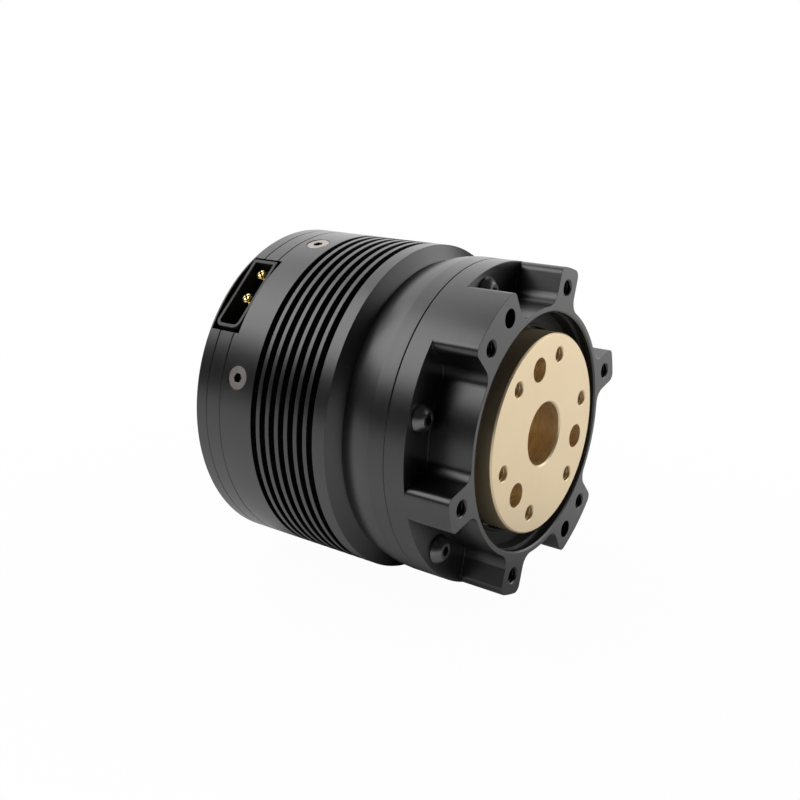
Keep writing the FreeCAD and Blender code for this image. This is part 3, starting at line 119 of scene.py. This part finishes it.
class Value:
    """An output socket that makes Math nodes when it is used in an expression."""

    def __init__(self, finish, socket):
        self.finish = finish
        self.socket = socket

    def math(self, operation, other, swapped=False):
        """A Math node on this value and another, in that order unless they are swapped."""
        terms = [other, self] if swapped else [self, other]
        return self.finish.node("ShaderNodeMath", {"operation": operation}, terms)

    def __add__(self, other):
        return self.math("ADD", other)

    def __radd__(self, other):
        return self.math("ADD", other, swapped=True)

    def __sub__(self, other):
        return self.math("SUBTRACT", other)

    def __rsub__(self, other):
        return self.math("SUBTRACT", other, swapped=True)

    def __mul__(self, other):
        return self.math("MULTIPLY", other)

    def __rmul__(self, other):
        return self.math("MULTIPLY", other, swapped=True)

    def __pow__(self, other):
        return self.math("POWER", other)

    def __rpow__(self, other):
        return self.math("POWER", other, swapped=True)


class Finish:
    """A material under construction: a Principled shader and the nodes that feed it."""

    def __init__(self, name, **constants):
        self.material = bpy.data.materials.new(name)
        self.material.use_nodes = True
        self.tree = self.material.node_tree
        self.shader = self.tree.nodes["Principled BSDF"]
        for socket, value in constants.items():
            self.shader.inputs[socket.replace("_", " ")].default_value = value

    def node(self, kind, settings=None, inputs=None, output=0):
        """Add a node with its settings, then its input values or links, and return an output."""
        made = self.tree.nodes.new(kind)
        for name, value in (settings or {}).items():
            setattr(made, name, value)
        items = inputs.items() if isinstance(inputs, dict) else enumerate(inputs or [])
        for name, value in items:
            self.put(made.inputs[name], value)
        return Value(self, made.outputs[output])

    def put(self, socket, value):
        """Link a wrapped output to an input socket, or set the socket's value."""
        if isinstance(value, Value):
            self.tree.links.new(value.socket, socket)
        elif hasattr(socket.default_value, "__len__") and len(value) < len(socket.default_value):
            socket.default_value = (*value, 1)
        else:
            socket.default_value = value

    def feed(self, socket, value):
        """Link or set one of the shader's own inputs."""
        self.put(self.shader.inputs[socket], value)

    def place(self):
        """The object's own coordinates, in metres, as a vector and as its three numbers."""
        vector = self.node("ShaderNodeTexCoord", output="Object")
        parts = [self.node("ShaderNodeSeparateXYZ", None, [vector], axis) for axis in "XYZ"]
        return [vector] + parts

    def noise(self, size, detail, **along):
        """Smooth noise from 0 to 1. With W it runs along one number, with Vector through space."""
        dimensions = {"noise_dimensions": "1D" if "W" in along else "3D"}
        inputs = {"Scale": 1 / size, "Detail": detail, "Roughness": NOISE_ROUGHNESS, **along}
        return self.node("ShaderNodeTexNoise", dimensions, inputs)

    def blend(self, share, first, second):
        """A colour between two, by a share from 0 to 1."""
        return self.node("ShaderNodeMix", {"data_type": "RGBA"},
                         {MIX_SHARE: share, MIX_FIRST: first, MIX_SECOND: second}, MIX_RESULT)

    def ramp(self, value, start, end, first, last):
        """A number that goes from first to last while the value goes from start to end."""
        return self.node("ShaderNodeMapRange", None, [value, start, end, first, last])

    def rounded(self, radius, height, strength, distance):
        """A normal that rounds hard edges off, with a height laid over it as bump."""
        edge = self.node("ShaderNodeBevel", {"samples": BEVEL_SAMPLES}, {"Radius": radius})
        bump = {"Strength": strength, "Distance": distance, "Height": height, "Normal": edge}
        return self.node("ShaderNodeBump", None, bump)


print("finishes are made with", Finish.__name__, "and", Value.__name__)

# %% [markdown]
# Turning leaves fine rings: lines round a barrel, circles on a face. The sum of the distance
# along the axis and the distance from it changes across both, so noise along that one number
# draws the tool marks on barrels and faces alike, without any mapping.

# %% Tool marks of a lathe
def turned_marks(finish, pitch):
    """Noise rings with about one ring to each pitch, 0 to 1."""
    vector, x, y, z = finish.place()
    radius = (y * y + z * z) ** 0.5
    return finish.noise(pitch, 3.0, W=x + radius)


def grain(finish, size, detail=3.0):
    """Even noise through space with grains of about that size, 0 to 1."""
    return finish.noise(size, detail, Vector=finish.place()[0])


print("surfaces vary by", turned_marks.__name__, "and", grain.__name__)

# %% [markdown]
# The casing is black anodised aluminium. The dyed oxide layer is a dark satin film over turned
# metal, so it is a non-metal shader with a soft highlight, streaks of slightly different
# roughness where the tool passed, and an edge that is rounded just enough to catch light.

# %% Black anodised aluminium
def black_anodised():
    """A dark satin non-metal with faint tool marks and broken edges."""
    finish = Finish("black_anodised", IOR=1.7)
    rings = turned_marks(finish, 0.16 * MM)
    bands = turned_marks(finish, 1.7 * MM)
    film = grain(finish, 0.05 * MM)
    cloud = grain(finish, 9 * MM, 2.0)
    dark, light = (0.0022, 0.0022, 0.0026), (0.0052, 0.0051, 0.0055)
    finish.feed("Base Color", finish.blend(cloud, dark, light))
    finish.feed("Roughness", 0.25 + rings * 0.06 + bands * 0.05 + cloud * 0.04)
    finish.feed("Normal", finish.rounded(0.12 * MM, rings * 0.7 + film * 0.3, 0.22, 0.012 * MM))
    return finish.material


black_casing = black_anodised()
print("made", black_casing.name)

# %% [markdown]
# The output disc has the same turned texture in a pale champagne gold. Here the film is thin
# and clear, so it is mostly a metal shader, and the colour deepens a little in the tool marks.
# The walls of its holes are smoother than its face.

# %% Gold anodised aluminium
DISC_HOLES_REACH = 15.5 * MM    # all the holes of the disc lie within this radius


def gold_anodised():
    """A pale gold metal with turned rings, smoother on the walls of the holes."""
    finish = Finish("gold_anodised", Metallic=0.72)
    rings = turned_marks(finish, 0.14 * MM)
    film = grain(finish, 0.06 * MM)
    cloud = grain(finish, 7 * MM, 2.0)
    dark, light = (0.76, 0.60, 0.37), (0.88, 0.725, 0.49)
    finish.feed("Base Color", finish.blend(cloud * 0.5 + rings * 0.5, dark, light))
    vector, x, y, z = finish.place()
    below_face = finish.ramp(face_x - x, 0.4 * MM, 0.9 * MM, 0.0, 1.0)
    among_holes = ((y * y + z * z) ** 0.5).math("LESS_THAN", DISC_HOLES_REACH)
    smoother = below_face * among_holes * 0.13
    finish.feed("Roughness", 0.30 + rings * 0.12 + cloud * 0.05 - smoother)
    finish.feed("Normal", finish.rounded(0.1 * MM, rings * 0.7 + film * 0.3, 0.4, 0.012 * MM))
    return finish.material


gold_disc = gold_anodised()
print("made", gold_disc.name)

# %% [markdown]
# The screws in the pockets are black oxide steel, the countersunk ones are plated. Both are
# metals with fine scratches; the plated one is paler and slightly warm, and it carries painted
# shade wherever it lies below the case's outer surface, as in its hexagon socket.

# %% Screw steels
# the near-black colour of the painted shade in the plated screws' sockets
PAINTED_SHADE_COLOUR = (0.012, 0.011, 0.010)


def plated_steel():
    """Plated screw metal, with painted shade darkening it where it lies below the case's outer surface."""
    finish = Finish("bright_screw", Metallic=0.9)
    scratches = grain(finish, 0.12 * MM, 4.0)
    spots = grain(finish, 1.2 * MM, 2.0)
    vector, x, y, z = finish.place()
    below_barrel = case_radius - (y * y + z * z) ** 0.5
    below_cover = x - rear_x
    depth = below_barrel.math("MINIMUM", below_cover)
    # Painted shade: the colour turns near black below the outer surfaces, in place of the shade in the socket.
    painted_shade = finish.ramp(depth, 0.25 * MM, 0.6 * MM, 0.0, 0.92)
    steel = finish.blend(spots, (0.34, 0.31, 0.29), (0.44, 0.41, 0.385))
    finish.feed("Base Color", finish.blend(painted_shade, steel, PAINTED_SHADE_COLOUR))
    finish.feed("Roughness", 0.36 + scratches * 0.12)
    finish.feed("Normal", finish.rounded(0.1 * MM, scratches, 0.15, 0.008 * MM))
    return finish.material


def black_steel():
    """Screw metal under a black oxide layer."""
    finish = Finish("black_screw", Metallic=0.9)
    scratches = grain(finish, 0.12 * MM, 4.0)
    spots = grain(finish, 1.2 * MM, 2.0)
    finish.feed("Base Color", finish.blend(spots, (0.11, 0.108, 0.108), (0.17, 0.166, 0.165)))
    finish.feed("Roughness", 0.26 + scratches * 0.12)
    finish.feed("Normal", finish.rounded(0.12 * MM, scratches, 0.15, 0.008 * MM))
    return finish.material


black_screw = black_steel()
bright_screw = plated_steel()
print("made", black_screw.name, "and", bright_screw.name)

# %% [markdown]
# The socket is moulded in black plastic with a faint spark texture, the contacts are gold
# plated, and the seal is matt rubber with a dusty bloom.

# %% Socket plastic, contact gold and seal rubber
def moulded_plastic(name, dark, light, roughness, texture):
    """A non-metal between two colours, with a fine texture of that grain size."""
    finish = Finish(name)
    spark = grain(finish, texture, 2.0)
    cloud = grain(finish, 4 * MM, 2.0)
    finish.feed("Base Color", finish.blend(cloud, dark, light))
    finish.feed("Roughness", roughness + spark * 0.15)
    finish.feed("Normal", finish.rounded(0.22 * MM, spark, 0.3, 0.01 * MM))
    return finish.material


def plated_gold():
    """Bright gold plating with slight differences of tint."""
    finish = Finish("gold_contact", Metallic=1.0)
    marks = grain(finish, 0.1 * MM, 3.0)
    tint = grain(finish, 0.8 * MM, 2.0)
    finish.feed("Base Color", finish.blend(tint, (0.86, 0.62, 0.20), (0.97, 0.78, 0.36)))
    finish.feed("Roughness", 0.14 + marks * 0.12)
    finish.feed("Normal", finish.rounded(0.08 * MM, marks, 0.1, 0.006 * MM))
    return finish.material


socket_plastic = moulded_plastic(
    "connector_plastic", (0.012, 0.012, 0.013), (0.02, 0.02, 0.021), 0.36, 0.15 * MM)
seal_rubber = moulded_plastic(
    "seal_rubber", (0.010, 0.010, 0.010), (0.022, 0.021, 0.020), 0.62, 0.3 * MM)
contact_gold = plated_gold()
print("made", socket_plastic.name, seal_rubber.name, contact_gold.name)

# %% [markdown]
# The inside has its own finishes too, for a cut or an opened view. The stator is a stack of thin
# sheets, so it gets a stripe for each, one behind the other along the axis; the winding is laid
# wire; the board has copper under green mask; magnets are plated, and gears and bearings are
# ground steel.

# %% Finishes of the inner parts
def striped_metal(name, dark, light, pitch, metallic, roughness):
    """Metal with rings or layers, one to each pitch along the axis."""
    finish = Finish(name, Metallic=metallic)
    vector, x, y, z = finish.place()
    layer = x.math("PINGPONG", pitch / 2) * (2 / pitch)
    cloud = grain(finish, 2 * MM)
    finish.feed("Base Color", finish.blend(layer * 0.7 + cloud * 0.3, dark, light))
    finish.feed("Roughness", roughness + cloud * 0.1)
    finish.feed("Normal", finish.rounded(0.05 * MM, layer, 0.4, 0.03 * MM))
    return finish.material


def ground_metal(name, dark, light, roughness):
    """Metal with fine grinding rings round the axis."""
    finish = Finish(name, Metallic=1.0)
    marks = turned_marks(finish, 0.1 * MM)
    cloud = grain(finish, 3 * MM)
    finish.feed("Base Color", finish.blend(cloud, dark, light))
    finish.feed("Roughness", roughness + marks * 0.12)
    finish.feed("Normal", finish.rounded(0.06 * MM, marks, 0.2, 0.008 * MM))
    return finish.material


def solder_mask():
    """Green mask, paler and raised over a net of copper tracks."""
    finish = Finish("board")
    cells = finish.node(
        "ShaderNodeTexVoronoi", {"distance": "MANHATTAN", "feature": "DISTANCE_TO_EDGE"},
        {"Vector": finish.place()[0], "Scale": 1 / (1.6 * MM)})
    track = cells.math("LESS_THAN", 0.08)
    finish.feed("Base Color", finish.blend(track, (0.012, 0.10, 0.045), (0.03, 0.20, 0.09)))
    finish.feed("Roughness", 0.3 + grain(finish, 0.3 * MM) * 0.1)
    finish.feed("Normal", finish.rounded(0.05 * MM, track, 0.5, 0.03 * MM))
    return finish.material


inner_finishes = {
    "lamination": striped_metal(
        "lamination", (0.16, 0.16, 0.17), (0.38, 0.38, 0.39), 0.4 * MM, 0.9, 0.35),
    "copper_wire": striped_metal(
        "copper_wire", (0.30, 0.10, 0.035), (0.72, 0.33, 0.14), 0.5 * MM, 0.85, 0.28),
    "magnet": ground_metal("magnet", (0.45, 0.45, 0.47), (0.60, 0.60, 0.62), 0.2),
    "raw_aluminium": ground_metal("raw_aluminium", (0.55, 0.55, 0.56), (0.70, 0.70, 0.71), 0.28),
    "capacitor_can": ground_metal("capacitor_can", (0.66, 0.66, 0.67), (0.80, 0.80, 0.80), 0.2),
    "bronze": ground_metal("bronze", (0.50, 0.31, 0.13), (0.72, 0.50, 0.26), 0.35),
    "gear_steel": ground_metal("gear_steel", (0.36, 0.36, 0.37), (0.52, 0.52, 0.53), 0.22),
    "board": solder_mask(),
    "chip": moulded_plastic("chip", (0.014, 0.014, 0.014), (0.03, 0.03, 0.03), 0.5, 0.1 * MM),
    "lead_insulation": moulded_plastic(
        "lead_insulation", (0.35, 0.02, 0.015), (0.45, 0.04, 0.03), 0.4, 0.2 * MM),
}
print("inner finishes:", len(inner_finishes))

# %% [markdown]
# The record names a finish for every part, so one table from that name to a material dresses
# the whole model. The parts' shapes are right as they are and stay untouched.

# %% Dress the parts
finishes = {
    **inner_finishes,
    "black_anodised": black_casing,
    "gold_anodised": gold_disc,
    "black_screw": black_screw,
    "bright_screw": bright_screw,
    "connector_plastic": socket_plastic,
    "gold_contact": contact_gold,
    "seal_rubber": seal_rubber,
}


def dress(piece, finish):
    """Give a piece one finish and no other."""
    piece.data.materials.clear()
    piece.data.materials.append(finish)


slot_of = {part["node"]: part["material_slot"] for part in frame["record"]["subparts"]}
for name, part in nodes.items():
    dress(part, finishes[slot_of[name]])
print("dressed", len(nodes), "parts in", len(set(slot_of.values())), "finishes")

# %% [markdown]
# Six small holes in the disc and six in the lugs are tapped. A thread is one ridge wound down
# the wall, so a small triangle is swept round the hole's axis with a Screw modifier. One thread
# is modelled at the origin and copied into each hole, each copy with its own mesh.

# %% A thread in a tapped hole
THREAD_PITCH = 0.5 * MM
THREAD_HEIGHT = 0.15 * MM
THREAD_TURNS = 7
THREAD_STEPS = 20               # flat stretches to one turn
DISC_THREAD_START = 0.2 * MM    # below the face, past the chamfer of the hole
LUG_THREAD_START = 0.28 * MM


def deselect():
    """Deselect everything, so that the next operator takes only what it makes."""
    bpy.ops.object.select_all(action="DESELECT")


def new_piece(name):
    """Name the object that an operator has just made, and put its place into its mesh."""
    piece = bpy.context.object
    piece.name = name
    bpy.ops.object.transform_apply(location=True, rotation=True, scale=True)
    return piece


def make_thread(name, radius, pitch, turns, height):
    """A ridge wound round the X axis from x = 0 rearwards, standing in from that radius."""
    deselect()
    bpy.ops.mesh.primitive_circle_add(
        vertices=3, radius=height, location=(0, radius, 0), rotation=(0, 0, math.pi),
        fill_type="NOTHING")
    thread = new_piece(name)
    screw = thread.modifiers.new("winding", "SCREW")
    screw.axis = "X"
    screw.angle = 2 * math.pi
    screw.screw_offset = -pitch
    screw.iterations = turns
    screw.steps = screw.render_steps = THREAD_STEPS
    screw.use_merge_vertices = True
    bpy.ops.object.modifier_apply(modifier="winding")
    bpy.ops.object.mode_set(mode="EDIT")
    bpy.ops.mesh.select_all(action="SELECT")
    bpy.ops.mesh.remove_doubles(threshold=0.001 * MM)
    bpy.ops.mesh.fill_holes(sides=3)
    bpy.ops.mesh.select_all(action="SELECT")
    bpy.ops.mesh.normals_make_consistent(inside=False)
    bpy.ops.object.mode_set(mode="OBJECT")
    return thread


def copy_to(piece, name, place):
    """A copy with its own mesh, moved and turned by a matrix."""
    copy = piece.copy()
    copy.data = piece.data.copy()
    copy.name = name
    copy.data.transform(place)
    bpy.context.scene.collection.objects.link(copy)
    return copy


tap_radius = mounts["output_bolts"]["dims"]["hole_r_mm"] * MM
pattern = make_thread("thread_pattern", tap_radius, THREAD_PITCH, THREAD_TURNS, THREAD_HEIGHT)
tapped = []
for mount, body, finish, slot, thread_x in (
        ("output_bolts", "output", gold_disc, "gold_anodised", face_x - DISC_THREAD_START),
        ("housing_bolts", "housing", black_casing, "black_anodised", lug_x - LUG_THREAD_START)):
    count = mounts[mount]["dims"]["count"]
    circle = mounts[mount]["dims"]["pcd_mm"] * MM / 2
    for index in range(count):
        spot = on_circle(circle, hole_angle + math.tau / count * index, thread_x)
        thread = copy_to(pattern, f"{body}_thread_{index + 1}", Matrix.Translation(spot))
        dress(thread, finish)
        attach(thread, body)
        tapped.append(thread)
bpy.data.objects.remove(pattern)
print("threads:", len(tapped), "with", len(tapped[0].data.polygons), "faces each")

# %% [markdown]
# The two power contacts are turned pins with a domed end that is sawn crosswise, so that it
# springs in the plug. One is modelled upright at the origin and copied to both spots, where the
# copies take the place of the model's plain pins.

# %% Slotted contacts
DOME_SHARE = 0.6        # how much of the pin's radius its domed end takes
SAW_SHARE = 0.28        # width of a saw cut, in pin radii
SAW_REACH = 3           # length and height of the saw, in pin radii

socket_spot = Vector(mounts["power_socket"]["pos_m"])
out = Vector((0, socket_spot.y, socket_spot.z)).normalized()
across = Vector((1, 0, 0)).cross(out)


def slotted_pin(name, radius, length):
    """A round pin that stands on the origin along +Z, with its domed end sawn crosswise."""
    deselect()
    bpy.ops.mesh.primitive_cylinder_add(
        vertices=40, radius=radius, depth=length, location=(0, 0, length / 2))
    pin = new_piece(name)
    dome = pin.modifiers.new("dome", "BEVEL")
    dome.width = radius * DOME_SHARE
    dome.segments = 6
    dome.limit_method = "ANGLE"
    bpy.ops.object.modifier_apply(modifier="dome")
    for turn in (45, 135):
        bpy.ops.mesh.primitive_cube_add(
            size=1, location=(0, 0, length), rotation=(0, 0, math.radians(turn)))
        saw = bpy.context.object
        saw.scale = (radius * SAW_REACH, radius * SAW_SHARE, radius * SAW_REACH)
        deselect()
        bpy.context.view_layer.objects.active = pin
        pin.select_set(True)
        cut = pin.modifiers.new("saw", "BOOLEAN")
        cut.operation = "DIFFERENCE"
        cut.object = saw
        bpy.ops.object.modifier_apply(modifier="saw")
        bpy.data.objects.remove(saw)
    return pin


def pin_spots(node):
    """Where the two round pins of a CAD node stand across the socket, then what they share:
    their place along X, their radius, and how far out their feet and their tips are.
    """
    points = [node.matrix_world @ vertex.co for vertex in node.data.vertices]
    sides = [point.dot(across) for point in points]
    reach = [point.dot(out) for point in points]
    split = (min(sides) + max(sides)) / 2
    groups = [[side for side in sides if side < split], [side for side in sides if side >= split]]
    stations = [point.x for point in points]
    middle_x = (min(stations) + max(stations)) / 2
    centres = [(min(group) + max(group)) / 2 for group in groups]
    radius = (max(groups[0]) - min(groups[0])) / 2
    return centres, middle_x, radius, min(reach), max(reach)


centres, pin_x, pin_radius, pin_base, pin_tip = pin_spots(nodes["power_pins"])
axes = Matrix((across, Vector((1, 0, 0)), out)).transposed().to_4x4()
upright_pin = slotted_pin("upright_pin", pin_radius, pin_tip - pin_base)
for index, centre in enumerate(centres):
    foot = out * pin_base + across * centre + Vector((pin_x, 0, 0))
    pin = copy_to(upright_pin, f"power_pin_{index + 1}", Matrix.Translation(foot) @ axes)
    dress(pin, contact_gold)
    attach(pin, "housing")
    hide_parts("power_pins")
bpy.data.objects.remove(upright_pin)
print("contacts at", [round(centre / MM, 2) for centre in centres])
print("contact radius", round(pin_radius / MM, 2))

# %% [markdown]
# The seal at the bottom of the output opening has a rounded lip that runs close to the disc. A
# torus gives it: it is sunk to its middle in the face of the model's plain ring, so that only
# the rounding stands out.

# %% Seal lip
seal = nodes["output_seal"]
seal_points = [seal.matrix_world @ vertex.co for vertex in seal.data.vertices]
seal_bore = min(math.hypot(point.y, point.z) for point in seal_points)
seal_face = max(point.x for point in seal_points)
lip_radius = 0.28 * MM
deselect()
bpy.ops.mesh.primitive_torus_add(
    major_radius=seal_bore + lip_radius, minor_radius=lip_radius,
    major_segments=120, minor_segments=14,
    location=(seal_face, 0, 0), rotation=(0, math.pi / 2, 0))
lip = new_piece("seal_lip")
bpy.ops.object.shade_smooth()
dress(lip, seal_rubber)
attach(lip, "housing")
print("seal lip at", round(seal_face / MM, 2), "mm")

# %% [markdown]
# The stage is one pale floor under the case. The camera sees it as white, a touch darker under
# the case, and through glass it is plain white. Reflections show it a little less bright, and
# under the case as bare paper, so that the black metal keeps its depth. There the paper's shadow
# from the lamps is real, but the darker patch, which a mask round the case's footprint fades out,
# is painted shade. To all other light it is matt paper.

# %% Floor
FLOOR_GAP = 0.02 * MM
PAPER = (0.86, 0.86, 0.86)
FOOTPRINT_STRETCH = 0.65        # X is shrunk by this, so the shade is longer along the case
FOOTPRINT_SHIFT = 0.016         # added after that, so its middle lies under the case's middle
MIRRORED_FLOOR = 0.85
SHADE_LEFT = 0.975              # what the camera sees of the white under the case
SEEN_SHADE = (0.03, 0.12)       # the shade that it sees fades out between these distances
MIRRORED_SHADE = (0.012, 0.05)  # the shade in reflections fades out between these

deselect()
bpy.ops.mesh.primitive_plane_add(size=6, location=(0, 0, cad_box[0][2] - FLOOR_GAP))
floor = bpy.context.object
floor.name = "floor"
paper = Finish("floor_paper", Roughness=0.9)
paper.feed("Base Color", PAPER)
seen, mirrored, through = [
    paper.node("ShaderNodeLightPath", output=f"Is {ray} Ray")
    for ray in ("Camera", "Glossy", "Transmission")]
spot = paper.node("ShaderNodeTexCoord", output="Object")
under = paper.node("ShaderNodeMapping", None, {
    "Vector": spot, "Location": (FOOTPRINT_SHIFT, 0, 0), "Scale": (FOOTPRINT_STRETCH, 1, 1)})
away = paper.node("ShaderNodeVectorMath", {"operation": "LENGTH"}, [under], "Value")
# Painted shade: these masks fade the glow out round the case's footprint, so there the matt paper and its real
# shadow show.
seen_share = seen * paper.ramp(away, *SEEN_SHADE, SHADE_LEFT, 1.0)
mirrored_share = mirrored * paper.ramp(away, *MIRRORED_SHADE, 0.0, MIRRORED_FLOOR)
glow = paper.node("ShaderNodeEmission", None, {"Strength": seen + mirrored + through})
matt = Value(paper, paper.shader.outputs[0])
show = paper.node("ShaderNodeMixShader", None, [seen_share + mirrored_share + through, matt, glow])
paper.put(paper.tree.nodes["Material Output"].inputs["Surface"], show)
floor.data.materials.append(paper.material)
print("floor at", round(floor.location.z / MM, 2), "mm")

# %% [markdown]
# The world beyond the floor is white to the camera too. It is nearly dark to the object, whose
# light comes from the soft boxes and from the floor that it mirrors.

# %% World
WORLD_ON_OBJECT = 0.05          # its strength for everything but the camera, for which it is 1

world = bpy.data.worlds.new("studio")
world.use_nodes = True
bpy.context.scene.world = world
sky = world.node_tree.nodes["Background"]
sky_path = world.node_tree.nodes.new("ShaderNodeLightPath")
sky_level = world.node_tree.nodes.new("ShaderNodeMath")
sky_level.operation = "MULTIPLY_ADD"
sky_level.inputs[1].default_value = 1 - WORLD_ON_OBJECT
sky_level.inputs[2].default_value = WORLD_ON_OBJECT
world.node_tree.links.new(sky_path.outputs["Is Camera Ray"], sky_level.inputs[0])
world.node_tree.links.new(sky_level.outputs[0], sky.inputs["Strength"])
sky.inputs["Color"].default_value = (1, 1, 1, 1)
print("world:", world.name)

# %% [markdown]
# Three soft boxes light it, all aimed at its middle. A large one above and behind, on the far
# side, and one high up on the near side draw the long highlights on the barrel. A small one
# beyond the disc brightens the lug faces and the gold.

# %% Lamps
middle = (Vector(cad_box[0]) + Vector(cad_box[1])) / 2


def soft_box(name, offset, width, height, watts):
    """A rectangular lamp at an offset from the object's middle, turned to shine at it."""
    data = bpy.data.lights.new(name, "AREA")
    data.shape = "RECTANGLE"
    data.size, data.size_y = width, height
    data.energy = watts
    lamp = bpy.data.objects.new(name, data)
    place = middle + Vector(offset)
    lamp.location = place
    lamp.rotation_euler = (middle - place).to_track_quat("-Z", "Y").to_euler()
    bpy.context.scene.collection.objects.link(lamp)


soft_box("overhead", (-0.26, 0.25, 0.26), width=0.50, height=0.60, watts=1.40)
soft_box("left_strip", (-0.23, -0.20, 0.31), width=0.42, height=0.27, watts=1.10)
soft_box("right_card", (0.20, 0.22, 0.09), width=0.30, height=0.22, watts=0.46)

# %% [markdown]
# The Standard view shows colours about as they are written, so the ground stays white and the
# case stays black.

# %% View settings
bpy.context.scene.view_settings.view_transform = "Standard"
print("view:", bpy.context.scene.view_settings.view_transform)
